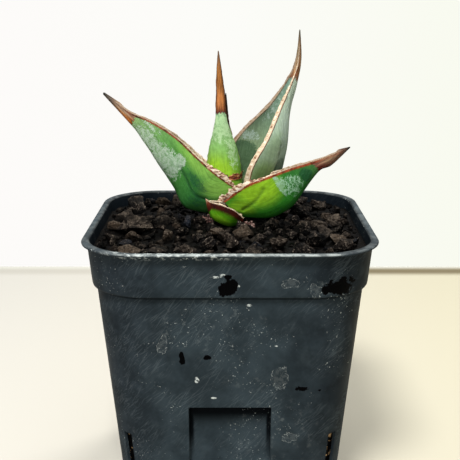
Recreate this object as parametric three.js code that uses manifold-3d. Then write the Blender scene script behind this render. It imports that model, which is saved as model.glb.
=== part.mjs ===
// A dwarf succulent snake plant in a square plastic nursery pot.
//
// Units are millimetres and +Z is up. The origin is the middle of the pot's
// underside, +X is the right-hand side and -Y is the front.
//
// Every leaf is a folded channel that narrows into a hard spine. It is lofted
// along its keel, the line that runs up the middle of its back.

import * as THREE from 'three';
import { LoftGeometry } from 'three/addons/geometries/LoftGeometry.js';
import { mergeVertices } from 'three/addons/utils/BufferGeometryUtils.js';
import Module from 'manifold-3d';

const wasm = await Module();
wasm.setup();

// ---------------------------------------------------------------------------
// Driving dimensions

const GAP = 0.3; // free space kept between neighbouring pieces
const PAST = 1; // how far a cutting shape reaches past what it cuts

// Pot
const LIP_WIDTH = 85;
const POT_HEIGHT = 80;
const LIP_HEIGHT = 0.9;
const LIP_OVERHANG = 1.4;
const LIP_ROUNDING = 0.4;
const COLLAR_HEIGHT = 13.2;
const COLLAR_STEP = 1.1; // the collar stands this far outside the wall below it
const SIDE_SLOPE = 0.093; // each side moves in by this much per millimetre down
const WALL = 0.8;
const FLOOR = 1.8;
const CORNER_RADIUS = 18;
const CORNER_SEGMENTS = 7;

// Stacking recess in the middle of each face: its back is upright, so it is
// deepest under its top ledge and runs out at the pot's foot
const RECESS_WIDTH = 24;
const RECESS_HEIGHT = 32.5;
const RECESS_FOOT_DEPTH = 0.4;

// Drainage
const SLOT_WIDTH = 3.4;
const SLOT_BOTTOM = 4;
const SLOT_TOP = 22;
const SLOT_DEPTH = 16; // of the cut, from outside the corner to well inside it
const DRAIN_RADIUS = 4;
const DRAIN_OFFSET = 16;
const DRAIN_SEGMENTS = 20;

// Potting mix, with loose chips of bark and lava lying on it
const SOIL_TOP = 76;
const CHIP_COUNT = 24;
const CHIP_SEED = 2026;
const CHIP_SMALLEST = 1.6; // radius
const CHIP_LARGEST = 3;
const CHIP_REACH = 36; // how far from the pot's axis chips lie, along X and Y
const CHIP_DIAGONAL = 61; // most that |x| + |y| may be, which keeps the corners free
const CHIP_FLATNESS = [0.55, 0.8]; // height as a share of width, least and most
const CHIP_DENT = 0.2; // most that a corner is pushed in, as a share of the radius
const CHIP_TILT = 0.5; // radians
const BARE_PATCH = { x: 2, y: 12, halfLength: 25, halfWidth: 14 }; // under the leaves

// Stem, hidden in the potting mix under the leaves, and its roots
const STEM_CENTRE = [1.5, 13];
const STEM_RADIUS = 5;
const STEM_BOTTOM = 60;
const STEM_TOP = 75.7;
const STEM_POCKET_RADIUS = 7;
const STEM_SEGMENTS = 16;
const ROOT_COUNT = 8;
const ROOT_RADIUS = 1;
const ROOT_RISE = 8; // from the foot of the stem to where the roots leave it
const ROOT_SAG = 5; // how far a root has sunk when it is halfway to the wall
const ROOT_REACHES = [27, 35]; // to the middle of a side, and into a corner
const ROOT_ELBOW = 0.96; // share of the reach at which a root turns down
const ROOT_END_HEIGHT = 16;
const ROOT_STEPS = 9;
const ROOT_SEGMENTS = 6; // in half of its outline

// Leaves, from the inside of the rosette to the outside. A leaf stands in a
// plane of its own: `foot` is where it starts, `heading` is the way it leans, in
// degrees round from +X, and `tilt` is how far the plane leans sideways. Its
// rows run from the foot to the tip, and each one gives, in that plane,
//   [keel out, keel up, margins out, margins up, half-width, slant]
// The slant is how much higher the left-hand margin, seen from the stem, stands
// for each millimetre across; it is left out where the channel opens upright.
// `thickness` is the greatest thickness of the flesh under the channel, and
// `fold` is the channel's shape: 1 is a sharp V, 2 is a round U.
const LEAVES = [
  {
    name: 'leaf_inner', foot: [-0.6, 17, 76.4], heading: 265, tilt: 1, thickness: 1.4, fold: 2,
    rows: [
      [2, 0, 0, 0, 2.4],
      [2, 15, -0.5, 15, 2.8],
      [1.6, 27, 0.2, 27, 1.8],
      [1.2, 32, 0.2, 32, 0.9],
      [0.7, 40.5, 0.4, 40.5, 0.2],
    ],
  },
  {
    name: 'leaf_centre', foot: [-1.4, 14, 76.4], heading: 268, tilt: 2.4, thickness: 2.4, fold: 2,
    rows: [
      [2, 0, -3, 0, 5.2],
      [2.5, 12, -3, 12, 5.9],
      [2.2, 22, -2, 22, 4.8],
      [1.8, 32, 0.2, 31, 2.2],
      [1.6, 37.5, -0.4, 37.5, 1.6],
      [1.2, 46.5, -0.2, 46.5, 1],
      [0.6, 54, 0.2, 54, 0.2],
    ],
  },
  {
    name: 'leaf_back_right', foot: [7, 16, 77], heading: 40, tilt: 0, thickness: 2.2, fold: 1.7,
    rows: [
      [3, 0, -6, 6, 4],
      [11, 10, -6.6, 17.3, 7.8],
      [15, 22, 0.4, 26.2, 7.6],
      [16.4, 32, 10.3, 36, 3.4],
      [20.2, 43, 17.5, 45, 1.4],
      [21.7, 50, 20, 51, 0.8],
      [21, 59.3, 20.7, 59.3, 0.2],
    ],
  },
  {
    name: 'leaf_left', foot: [-2, 14, 78], heading: 180, tilt: 0, thickness: 2.6, fold: 2,
    rows: [
      [0, 0, -5, 9, 4.5],
      [12, 2, 2, 14, 5.5, 0.02],
      [17, 10, 8, 19, 5, 0.06],
      [22.6, 18.8, 15, 25.5, 3.6, 0.08],
      [27.3, 26.3, 23, 30.5, 2, 0.08],
      [31, 30.8, 29.9, 33.5, 1.3, 0.06],
      [38.2, 38.9, 37.9, 39.4, 0.3],
    ],
  },
  {
    name: 'leaf_right', foot: [4, 9.5, 78], heading: -3, tilt: 0, thickness: 2.6, fold: 2,
    rows: [
      [0, 0, -6, 6, 4, -0.05],
      [9, 0, 1, 11, 5.5, -0.08],
      [16, 3.8, 9, 14.2, 5, -0.1],
      [20, 9.4, 15, 16.4, 3.4, -0.1],
      [24.4, 15.4, 22, 18.5, 2, -0.1],
      [28.2, 17.3, 27.2, 20.4, 1.2, -0.08],
      [33.8, 22.8, 33.6, 23.1, 0.3],
    ],
  },
  {
    name: 'scale_leaf', foot: [3, 4.5, 76.4], heading: 190, tilt: 0, thickness: 1.2, fold: 2,
    rows: [
      [0, 0, -1, 3, 2.5],
      [4, 0, 2.5, 6, 4],
      [8.5, 2.5, 6, 7.5, 3],
      [10.3, 6, 9.5, 8.3, 1],
      [10.8, 8.8, 10.6, 9, 0.3],
    ],
  },
];

const MARGIN_WIDTH = 1; // thickness of a leaf at its margins
const MARGIN_SHARE = 0.4; // most that a margin takes of the half-width
const SPINE_RIB = 0.35; // height of the rib that closes a spine, as a share of its depth
const STEPS_PER_ROW = 4;
const ARC_STEPS = 9; // round a leaf's back from margin to margin

// Torn, papery remains of old leaf sheaths at the foot of the rosette: where
// each one stands, how far it leans back, in degrees, and its size
const SHEATHS = [
  { name: 'dry_sheath_right', x: 5.8, y: 3, lean: 20, width: 4, height: 2.4 },
  { name: 'dry_sheath_left', x: -7.6, y: 7.5, lean: 15, width: 4, height: 3.4 },
];
const SHEATH_THICKNESS = 0.5;
// The torn outline, as shares of the width and of the height
const SHEATH_OUTLINE = [
  [-0.5, 0],
  [0.5, 0],
  [0.42, 0.7],
  [0.15, 0.5],
  [0, 1],
  [-0.2, 0.55],
  [-0.4, 0.8],
];

// ---------------------------------------------------------------------------
// Materials

const POT_PLASTIC = { color: 0x25292c, roughness: 0.5, metalness: 0 };
const POTTING_MIX = { color: 0x2a2320, roughness: 0.95, metalness: 0 };
const LEAF_GREEN = { color: 0x4f7a3c, roughness: 0.55, metalness: 0 };
const DRY_BROWN = { color: 0x8a5a3c, roughness: 0.85, metalness: 0 };
const ROOT_CREAM = { color: 0xc9b183, roughness: 0.8, metalness: 0 };

// ---------------------------------------------------------------------------
// Solids

function toSolid(geometry) {
  const bare = new THREE.BufferGeometry();
  bare.setAttribute('position', geometry.attributes.position);
  bare.setIndex(geometry.index);
  const merged = mergeVertices(bare, 1e-4);
  const mesh = new wasm.Mesh({
    numProp: 3,
    vertProperties: new Float32Array(merged.attributes.position.array),
    triVerts: new Uint32Array(merged.index.array),
  });
  return new wasm.Manifold(mesh);
}

function toGeometry(solid) {
  const mesh = solid.getMesh();
  const geometry = new THREE.BufferGeometry();
  geometry.setAttribute('position', new THREE.BufferAttribute(mesh.vertProperties, 3));
  geometry.setIndex(new THREE.BufferAttribute(mesh.triVerts, 1));
  geometry.computeVertexNormals();
  return geometry;
}

function cut(solid, tool) {
  return solid.subtract(tool);
}

// The same thing made once for each of the pot's four sides
function eachSide(make) {
  return [0, 1, 2, 3].map((side) => make(side * Math.PI / 2));
}

function piece(name, geometry, look) {
  const mesh = new THREE.Mesh(geometry, new THREE.MeshStandardMaterial(look));
  mesh.name = name;
  return mesh;
}

function box(width, depth, height, x, y, z) {
  const geometry = new THREE.BoxGeometry(width, depth, height);
  geometry.translate(x, y, z + height / 2);
  return geometry;
}

// Seeded, so that the model comes out the same every time
function makeRandom(seed) {
  let state = seed;
  return () => {
    state = (state * 1664525 + 1013904223) % 4294967296;
    return state / 4294967296;
  };
}

// ---------------------------------------------------------------------------
// Pot

function roundedSquare(width, radius, z) {
  const points = [];
  const reach = width / 2 - radius;
  for (let corner = 0; corner < 4; corner++) {
    const start = corner * Math.PI / 2;
    const middle = start + Math.PI / 4;
    const cx = Math.sign(Math.cos(middle)) * reach;
    const cy = Math.sign(Math.sin(middle)) * reach;
    for (let step = 0; step <= CORNER_SEGMENTS; step++) {
      const angle = start + step / CORNER_SEGMENTS * Math.PI / 2;
      const x = cx + radius * Math.cos(angle);
      const y = cy + radius * Math.sin(angle);
      points.push(new THREE.Vector3(x, y, z));
    }
  }
  return points;
}

const COLLAR_WIDTH = LIP_WIDTH - 2 * LIP_OVERHANG;

// Width of the tapered wall below the collar, outside
function wallWidth(z) {
  return COLLAR_WIDTH - 2 * COLLAR_STEP - 2 * SIDE_SLOPE * (POT_HEIGHT - z);
}

// The ledge inside the pot is a wall's thickness above the collar's underside
const CAVITY_LEDGE = POT_HEIGHT - COLLAR_HEIGHT + WALL;

// Width of the cavity: it is wider above its ledge
function cavityWidth(z) {
  const collar = z > CAVITY_LEDGE ? 2 * COLLAR_STEP : 0;
  return wallWidth(z) + collar - 2 * WALL;
}

function cornerRadius(width) {
  return CORNER_RADIUS * width / LIP_WIDTH;
}

function squareLoft(levels) {
  const sections = levels.map(([width, z]) => roundedSquare(width, cornerRadius(width), z));
  return new LoftGeometry(sections, { capStart: true, capEnd: true });
}

// Everything inside the pot's outer surface, lip and collar included
function outerSolid() {
  const collarFoot = POT_HEIGHT - COLLAR_HEIGHT;
  const lipFoot = POT_HEIGHT - LIP_HEIGHT;
  const collarWidth = (z) => wallWidth(z) + 2 * COLLAR_STEP;
  return toSolid(squareLoft([
    [wallWidth(0), 0],
    [wallWidth(collarFoot), collarFoot],
    [collarWidth(collarFoot), collarFoot + LIP_ROUNDING],
    [collarWidth(lipFoot), lipFoot],
    [LIP_WIDTH - LIP_ROUNDING, lipFoot + LIP_ROUNDING / 2],
    [LIP_WIDTH, POT_HEIGHT - LIP_ROUNDING],
    [LIP_WIDTH - 2 * LIP_ROUNDING, POT_HEIGHT],
  ]));
}

// The pot's cavity up to a level, smaller all round by a margin
function cavitySolid(shrink, top) {
  const width = (z) => cavityWidth(z) - 2 * shrink;
  const aboveLedge = CAVITY_LEDGE + COLLAR_STEP;
  const cavity = toSolid(squareLoft([
    [width(FLOOR), FLOOR + shrink],
    [width(CAVITY_LEDGE), CAVITY_LEDGE],
    [width(aboveLedge), aboveLedge],
    [width(top), top],
  ]));
  return eachSide((turn) => recessBlock(WALL + shrink, turn)).reduce(cut, cavity);
}

// The block that the recess takes out of one face, grown by a margin
function recessBlock(grow, turn) {
  const back = wallWidth(0) / 2 - RECESS_FOOT_DEPTH;
  const length = LIP_WIDTH / 2 - back + grow;
  const width = RECESS_WIDTH + 2 * grow;
  const height = RECESS_HEIGHT + grow + PAST;
  const geometry = box(width, length, height, 0, -back + grow - length / 2, -PAST);
  geometry.rotateZ(turn);
  return toSolid(geometry);
}

function slotBlock(turn) {
  const width = wallWidth(SLOT_TOP);
  const corner = width / Math.SQRT2 - cornerRadius(width) * (Math.SQRT2 - 1);
  const height = SLOT_TOP - SLOT_BOTTOM;
  const geometry = box(SLOT_DEPTH, SLOT_WIDTH, height, corner, 0, SLOT_BOTTOM);
  geometry.rotateZ(turn);
  return toSolid(geometry);
}

function drainHole(turn) {
  const length = FLOOR + 2 * PAST;
  const geometry = new THREE.CylinderGeometry(DRAIN_RADIUS, DRAIN_RADIUS, length, DRAIN_SEGMENTS);
  geometry.rotateX(Math.PI / 2);
  geometry.translate(DRAIN_OFFSET, DRAIN_OFFSET, FLOOR / 2);
  geometry.rotateZ(turn);
  return toSolid(geometry);
}

function makePot() {
  const cuts = [
    cavitySolid(0, POT_HEIGHT + PAST),
    ...eachSide((turn) => recessBlock(0, turn)),
    ...eachSide((turn) => slotBlock(turn + Math.PI / 4)),
    ...eachSide(drainHole),
  ];
  return cuts.reduce(cut, outerSolid());
}

// ---------------------------------------------------------------------------
// Leaves

// Points evenly stepped along a smooth line through the rows
function smoothLine(points) {
  const curve = new THREE.CatmullRomCurve3(points, false, 'catmullrom');
  return curve.getPoints((points.length - 1) * STEPS_PER_ROW);
}

// A rounded arc from one margin, round a depth below them, to the other margin
function channelArc(row, halfWidth, depthShare, fold) {
  const points = [];
  for (let step = 0; step <= ARC_STEPS; step++) {
    const angle = step / ARC_STEPS * Math.PI;
    const cos = Math.cos(angle);
    const side = Math.sign(cos) * Math.pow(Math.abs(cos), 2 / fold);
    const down = Math.pow(Math.max(Math.sin(angle), 0), 2 / fold);
    const point = row.margin.clone().lerp(row.keel, down * depthShare);
    point.y = side * halfWidth;
    point.z += row.slant * point.y * (1 - down * depthShare);
    points.push(point);
  }
  return points;
}

// One closed outline round the leaf: its back from margin to margin, then the
// channel on the way home. In the spine the channel turns into a raised rib.
// The space that a leaf takes up has no channel: its outline closes straight.
function leafSection(leaf, row, isSpace) {
  const depth = row.margin.distanceTo(row.keel);
  const open = isSpace ? 0 : Math.max(1 - leaf.thickness / depth, -SPINE_RIB);
  const edge = Math.min(MARGIN_WIDTH, row.halfWidth * MARGIN_SHARE);
  const back = channelArc(row, row.halfWidth, 1, leaf.fold);
  const channel = channelArc(row, row.halfWidth - edge, open, leaf.fold);
  return [...channel.slice(1, -1), ...back.reverse()];
}

function grownRow(row, grow) {
  const outward = row.keel.clone().sub(row.margin).setLength(grow);
  const keel = row.keel.clone().add(outward);
  const margin = row.margin.clone().sub(outward);
  return { ...row, keel, margin, halfWidth: row.halfWidth + grow };
}

function movedRow(row, offset) {
  const keel = row.keel.clone().add(offset);
  const margin = row.margin.clone().add(offset);
  return { ...row, keel, margin };
}

// Rows all along the leaf, grown all round, at the foot and at the tip
function leafRows(leaf, grow) {
  const keels = smoothLine(leaf.rows.map((row) => new THREE.Vector3(row[0], 0, row[1])));
  const margins = smoothLine(leaf.rows.map((row) => new THREE.Vector3(row[2], 0, row[3])));
  const others = smoothLine(leaf.rows.map((row, index) => {
    return new THREE.Vector3(index, row[4], row[5] ?? 0);
  }));
  const rows = keels.map((keel, index) => {
    const { y: halfWidth, z: slant } = others[index];
    return grownRow({ keel, margin: margins[index], halfWidth, slant }, grow);
  });
  const last = rows.length - 1;
  const footward = rows[0].keel.clone().sub(rows[1].keel).setLength(grow);
  const tipward = rows[last].keel.clone().sub(rows[last - 1].keel).setLength(grow);
  rows[0] = movedRow(rows[0], footward);
  rows[last] = movedRow(rows[last], tipward);
  return rows;
}

function leafGeometry(leaf, grow, isSpace) {
  const sections = leafRows(leaf, grow).map((row) => leafSection(leaf, row, isSpace));
  const geometry = new LoftGeometry(sections, { capStart: true, capEnd: true });
  geometry.rotateX(THREE.MathUtils.degToRad(leaf.tilt));
  geometry.rotateZ(THREE.MathUtils.degToRad(leaf.heading));
  geometry.translate(...leaf.foot);
  return geometry;
}

// The leaves as solids, each cut back where it would run into one further in
function makeLeaves() {
  const spaces = LEAVES.map((leaf) => toSolid(leafGeometry(leaf, GAP, true)));
  return LEAVES.map((leaf, index) => {
    return spaces.slice(0, index).reduce(cut, toSolid(leafGeometry(leaf, 0, false)));
  });
}

function makeSheath({ x, y, lean, width, height }) {
  const corners = SHEATH_OUTLINE.map(([across, up]) => {
    return new THREE.Vector2(across * width, up * height);
  });
  const options = { depth: SHEATH_THICKNESS, bevelEnabled: false };
  const geometry = new THREE.ExtrudeGeometry(new THREE.Shape(corners), options);
  geometry.rotateX(THREE.MathUtils.degToRad(90 - lean));
  geometry.translate(x, y, SOIL_TOP + GAP);
  return geometry;
}

// ---------------------------------------------------------------------------
// Stem and roots

function makeStem(radius, top) {
  const height = top - STEM_BOTTOM;
  const geometry = new THREE.CylinderGeometry(radius, radius, height, STEM_SEGMENTS);
  geometry.rotateX(Math.PI / 2);
  geometry.translate(...STEM_CENTRE, STEM_BOTTOM + height / 2);
  return geometry;
}

// Roots leave the stem all round and sink outwards through the potting mix
function rootPath(index) {
  const turn = index * 2 * Math.PI / ROOT_COUNT;
  const outward = new THREE.Vector3(Math.cos(turn), Math.sin(turn), 0);
  const start = new THREE.Vector3(...STEM_CENTRE, STEM_BOTTOM + ROOT_RISE);
  start.addScaledVector(outward, STEM_RADIUS + ROOT_RADIUS);
  const end = outward.multiplyScalar(ROOT_REACHES[index % 2]);
  end.z = ROOT_END_HEIGHT;
  const shoulder = start.clone().lerp(end, 0.5);
  shoulder.z = start.z - ROOT_SAG;
  const elbow = end.clone().multiplyScalar(ROOT_ELBOW);
  elbow.z = (start.z + end.z) / 2;
  return new THREE.CatmullRomCurve3([start, shoulder, elbow, end]);
}

function makeRoot(index, grow = 0) {
  const outline = new THREE.Shape();
  outline.absarc(0, 0, ROOT_RADIUS + grow, 0, 2 * Math.PI);
  return new THREE.ExtrudeGeometry(outline, {
    steps: ROOT_STEPS,
    extrudePath: rootPath(index),
    curveSegments: ROOT_SEGMENTS,
  });
}

// The space that a root leaves in the potting mix, clear of its tip too
function rootSpace(index) {
  const tip = new THREE.IcosahedronGeometry(ROOT_RADIUS + 2 * GAP, 1);
  tip.translate(...rootPath(index).getPoint(1));
  return toSolid(makeRoot(index, GAP)).add(toSolid(tip));
}

// ---------------------------------------------------------------------------
// Potting mix

function makeSoil() {
  const roots = Array.from({ length: ROOT_COUNT }, (_, index) => rootSpace(index));
  const stemPocket = toSolid(makeStem(STEM_POCKET_RADIUS, SOIL_TOP + PAST));
  const soil = cavitySolid(GAP, SOIL_TOP).subtract(stemPocket);
  return roots.reduce(cut, soil);
}

// An angular chip: a rounded block with each corner pushed in or out
function makeChip(radius, random) {
  const block = new THREE.IcosahedronGeometry(radius, 0);
  block.deleteAttribute('normal');
  block.deleteAttribute('uv');
  const geometry = mergeVertices(block, 1e-3);
  const corners = geometry.attributes.position;
  const [flattest, fullest] = CHIP_FLATNESS;
  const flatness = flattest + (fullest - flattest) * random();
  for (let index = 0; index < corners.count; index++) {
    const push = 1 - CHIP_DENT * random();
    const x = corners.getX(index) * push;
    const y = corners.getY(index) * push;
    const z = corners.getZ(index) * push * flatness;
    corners.setXYZ(index, x, y, z);
  }
  geometry.rotateX(CHIP_TILT * random());
  geometry.rotateZ(2 * Math.PI * random());
  geometry.computeVertexNormals();
  geometry.computeBoundingBox();
  return geometry;
}

function isUnderLeaves(x, y) {
  const across = (x - BARE_PATCH.x) / BARE_PATCH.halfLength;
  const along = (y - BARE_PATCH.y) / BARE_PATCH.halfWidth;
  return Math.hypot(across, along) < 1;
}

// Places on the potting mix where chips lie without touching one another
function chipPlaces(random) {
  const places = [];
  while (places.length < CHIP_COUNT) {
    const radius = CHIP_SMALLEST + (CHIP_LARGEST - CHIP_SMALLEST) * random();
    const x = (2 * random() - 1) * CHIP_REACH;
    const y = (2 * random() - 1) * CHIP_REACH;
    const isClear = places.every((other) => {
      return Math.hypot(x - other.x, y - other.y) > radius + other.radius + GAP;
    });
    const isOnSoil = Math.abs(x) + Math.abs(y) < CHIP_DIAGONAL;
    if (isClear && isOnSoil && !isUnderLeaves(x, y)) {
      places.push({ x, y, radius });
    }
  }
  return places;
}

// ---------------------------------------------------------------------------
// The whole plant

function numbered(name, index) {
  return `${name}_${String(index + 1).padStart(2, '0')}`;
}

const plant = new THREE.Group();
plant.name = 'potted_snake_plant';

plant.add(piece('nursery_pot', toGeometry(makePot()), POT_PLASTIC));
plant.add(piece('potting_mix', toGeometry(makeSoil()), POTTING_MIX));
plant.add(piece('stem', makeStem(STEM_RADIUS, STEM_TOP), DRY_BROWN));

for (let index = 0; index < ROOT_COUNT; index++) {
  plant.add(piece(numbered('root', index), makeRoot(index), ROOT_CREAM));
}

makeLeaves().forEach((solid, index) => {
  plant.add(piece(LEAVES[index].name, toGeometry(solid), LEAF_GREEN));
});

for (const sheath of SHEATHS) {
  plant.add(piece(sheath.name, makeSheath(sheath), DRY_BROWN));
}

const random = makeRandom(CHIP_SEED);
chipPlaces(random).forEach((place, index) => {
  const geometry = makeChip(place.radius, random);
  const chip = piece(numbered('chip', index), geometry, POTTING_MIX);
  chip.position.set(place.x, place.y, SOIL_TOP + GAP - geometry.boundingBox.min.z);
  plant.add(chip);
});

export default plant;
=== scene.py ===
import math
import random

import bmesh
import bpy
import numpy as np
from mathutils import Matrix, Vector, noise
from mathutils.kdtree import KDTree


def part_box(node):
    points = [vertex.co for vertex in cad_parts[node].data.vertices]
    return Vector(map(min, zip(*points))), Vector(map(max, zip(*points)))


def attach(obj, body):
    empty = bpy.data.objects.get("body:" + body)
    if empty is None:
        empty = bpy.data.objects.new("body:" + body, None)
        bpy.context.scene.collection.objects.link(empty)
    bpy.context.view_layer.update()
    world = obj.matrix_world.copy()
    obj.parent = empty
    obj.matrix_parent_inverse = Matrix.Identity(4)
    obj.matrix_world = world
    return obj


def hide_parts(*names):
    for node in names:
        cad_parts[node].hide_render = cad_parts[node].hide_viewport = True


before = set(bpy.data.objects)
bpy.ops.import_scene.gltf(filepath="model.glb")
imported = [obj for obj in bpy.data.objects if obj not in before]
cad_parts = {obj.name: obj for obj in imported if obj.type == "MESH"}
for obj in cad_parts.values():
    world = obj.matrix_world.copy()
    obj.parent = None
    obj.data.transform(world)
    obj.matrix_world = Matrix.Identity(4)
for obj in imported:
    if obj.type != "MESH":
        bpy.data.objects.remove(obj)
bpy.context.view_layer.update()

# A dwarf succulent snake plant in a square plastic nursery pot.
# Shapes are worked out in millimetres, in the frame of the CAD model, and
# turned into metres when a mesh is made. The camera, the lights and what a
# shader gets from Paint.place are in metres; leaf shaders work in millimetres.

MM = 0.001
ROUND = 2 * math.pi


# ---------------------------------------------------------------------------
# Node materials


def linear(hex_colour):
    """A colour written as in a paint program, such as "86b445", for a shader."""
    channels = [int(hex_colour[i : i + 2], 16) / 255 for i in (0, 2, 4)]
    return tuple(
        c / 12.92 if c <= 0.04045 else ((c + 0.055) / 1.055) ** 2.4 for c in channels
    ) + (1.0,)


def fill_ramp(ramp, stops):
    """Gives a colour ramp its stops of (position, colour)."""
    while len(ramp.elements) < len(stops):
        ramp.elements.new(0.5)
    for element, (position, colour) in zip(ramp.elements, stops):
        element.position = position
        element.color = linear(colour)


class Paint:
    """One node material around a Principled shader."""

    def __init__(self, name):
        self.material = bpy.data.materials.new(name)
        self.material.use_nodes = True
        self.tree = self.material.node_tree
        self.tree.nodes.clear()
        self.shader = self.node("BsdfPrincipled")
        output = self.node("OutputMaterial")
        self.tree.links.new(self.shader.outputs[0], output.inputs["Surface"])

    def feed(self, socket, value):
        if isinstance(value, bpy.types.NodeSocket):
            self.tree.links.new(value, socket)
        elif isinstance(value, str):
            socket.default_value = linear(value)
        else:
            socket.default_value = value

    def set(self, name, value):
        self.feed(self.shader.inputs[name], value)

    def node(self, kind, *values):
        """A new node with these values in its first sockets, but nothing for None."""
        node = self.tree.nodes.new("ShaderNode" + kind)
        for socket, value in zip(node.inputs, values):
            if value is not None:
                self.feed(socket, value)
        return node

    def place(self):
        return self.node("TexCoord").outputs["Object"]

    def normal(self):
        return self.node("TexCoord").outputs["Normal"]

    def attribute(self, name):
        node = self.node("Attribute")
        node.attribute_name = name
        return node.outputs["Vector"]

    def split(self, vector):
        node = self.node("SeparateXYZ", vector)
        return node.outputs[0], node.outputs[1], node.outputs[2]

    def join(self, x, y, z):
        return self.node("CombineXYZ", x, y, z).outputs[0]

    def maths(self, operation, first, *others):
        """The others are worked into the first one after another."""
        for other in others:
            node = self.node("Math", first, other)
            node.operation = operation
            first = node.outputs[0]
        return first

    def times(self, *values):
        return self.maths("MULTIPLY", *values)

    def plus(self, *values):
        return self.maths("ADD", *values)

    def minus(self, *values):
        return self.maths("SUBTRACT", *values)

    def most(self, *values):
        return self.maths("MAXIMUM", *values)

    def least(self, *values):
        return self.maths("MINIMUM", *values)

    def magnitude(self, value):
        return self.maths("ABSOLUTE", value, 0.0)

    def vectors(self, operation, first, second):
        node = self.node("VectorMath", first, second)
        node.operation = operation
        return node.outputs["Value" if operation == "LENGTH" else "Vector"]

    def turned(self, vector, rotation=(0, 0, 0), scale=(1, 1, 1)):
        return self.node("Mapping", vector, None, rotation, scale).outputs[0]

    def noise(self, vector, scale, detail=3.0, roughness=0.5):
        """Smooth noise, which mostly lies between 0.4 and 0.6."""
        return self.node("TexNoise", vector, None, scale, detail, roughness).outputs["Fac"]

    def step(self, value, low, high, start=0.0, end=1.0):
        """A share that goes smoothly from start to end as value goes from low to high."""
        node = self.node("MapRange", value, low, high, start, end)
        node.interpolation_type = "SMOOTHSTEP"
        return node.outputs["Result"]

    def step_mm(self, place, low, high, start=0.0, end=1.0):
        """The same for a place or a distance, between limits in millimetres."""
        return self.step(place, low * MM, high * MM, start, end)

    def mix(self, share, low, high, blend="MIX"):
        """The first colour where share is 0 and the second where it is 1."""
        node = self.node("Mix")
        node.data_type = "RGBA"
        node.blend_type = blend
        for index, value in ((0, share), (6, low), (7, high)):
            self.feed(node.inputs[index], value)
        return node.outputs[2]

    def shade(self, colour, factor):
        return self.mix(1.0, colour, self.join(factor, factor, factor), "MULTIPLY")

    def ramp(self, value, stops):
        node = self.node("ValToRGB", value)
        fill_ramp(node.color_ramp, stops)
        return node.outputs[0]

    def bump(self, height, distance):
        node = self.node("Bump", 1.0, distance * MM)
        self.feed(node.inputs["Height"], height)
        self.set("Normal", node.outputs[0])


# ---------------------------------------------------------------------------
# Meshes


def new_object(name, points, faces):
    """An object in the scene from points in millimetres."""
    mesh = bpy.data.meshes.new(name)
    mesh.from_pydata((np.asarray(points, float) * MM).tolist(), [], faces)
    mesh.update()
    piece = bpy.data.objects.new(name, mesh)
    bpy.context.scene.collection.objects.link(piece)
    return piece


def tidy_normals(piece, sharp_angle):
    """Faces look outward, and shade smoothly except across sharp edges."""
    working = bmesh.new()
    working.from_mesh(piece.data)
    bmesh.ops.recalc_face_normals(working, faces=working.faces)
    working.to_mesh(piece.data)
    working.free()
    piece.data.polygons.foreach_set("use_smooth", [True] * len(piece.data.polygons))
    piece.data.set_sharp_from_angle(angle=math.radians(sharp_angle))


def finish_piece(piece, paint, replaced=()):
    """Paints a piece, and says what it rides on and the nodes it replaces."""
    piece.data.materials.clear()
    piece.data.materials.append(paint.material)
    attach(piece, "root")
    if replaced:
        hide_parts(*replaced)
    return piece


def paint_node(node, paint):
    """Paints a node of the CAD model, and leaves its shape as it is."""
    node.data.materials.clear()
    node.data.materials.append(paint.material)


def carve(piece, cutters):
    """Takes the cutters' shapes out of the piece's mesh, and removes the cutters."""
    for cutter in cutters:
        modifier = piece.modifiers.new("carve", "BOOLEAN")
        modifier.operation = "DIFFERENCE"
        modifier.solver = "MANIFOLD"
        modifier.object = cutter
    bpy.context.view_layer.update()
    graph = bpy.context.evaluated_depsgraph_get()
    carved = bpy.data.meshes.new_from_object(piece.evaluated_get(graph))
    piece.modifiers.clear()
    piece.data = carved
    for cutter in cutters:
        bpy.data.objects.remove(cutter)


def points_of(mesh):
    found = np.empty(len(mesh.vertices) * 3)
    mesh.vertices.foreach_get("co", found)
    return found.reshape(-1, 3) / MM


def normals_of(mesh):
    found = np.empty(len(mesh.vertices) * 3)
    mesh.vertices.foreach_get("normal", found)
    return found.reshape(-1, 3)


def put_points(mesh, points):
    mesh.vertices.foreach_set("co", (points * MM).ravel())
    mesh.update()


def put_attribute(mesh, name, values):
    """Three numbers at each point, for a shader to read."""
    layer = mesh.attributes.new(name, "FLOAT_VECTOR", "POINT")
    layer.data.foreach_set("vector", np.asarray(values, np.float32).ravel())


def noise_at(points, scale, seed=0):
    """Smooth noise from -1 to 1 at each point, with one bump about every 1/scale mm."""
    shift = Vector((seed * 17.3, seed * 5.9, seed * 11.1))
    return np.array([noise.noise(Vector(p) * scale + shift) for p in points])


def lengths_along(line):
    """How far along a line each of its points lies."""
    return np.r_[0, np.cumsum(np.linalg.norm(np.diff(line, axis=0), axis=1))]


def unit(vectors):
    return vectors / np.linalg.norm(vectors, axis=1)[:, None]


def tree_of(points):
    tree = KDTree(len(points))
    for k, point in enumerate(points):
        tree.insert(point, k)
    tree.balance()
    return tree


def smoothstep(value, low, high):
    share = np.clip((value - low) / (high - low), 0, 1)
    return share * share * (3 - 2 * share)


def ring_faces(rings, count):
    """Quads between neighbouring rings of count points each."""
    faces = []
    for ring in range(rings - 1):
        for k in range(count):
            after = (k + 1) % count
            a, b = ring * count, (ring + 1) * count
            faces.append((a + k, a + after, b + after, b + k))
    return faces


def capped_tube(rings):
    """A closed shape through rings of as many points each, with a face at both ends."""
    points = np.array([list(point) for ring in rings for point in ring])
    count = len(rings[0])
    faces = ring_faces(len(rings), count)
    faces += [tuple(range(count)), tuple(range(len(points) - count, len(points)))]
    return points, faces


def take_shape(working):
    """The points and faces of a bmesh, which is freed."""
    working.verts.index_update()
    points = np.array([list(vertex.co) for vertex in working.verts])
    faces = [[vertex.index for vertex in face.verts] for face in working.faces]
    working.free()
    return points, faces


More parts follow.
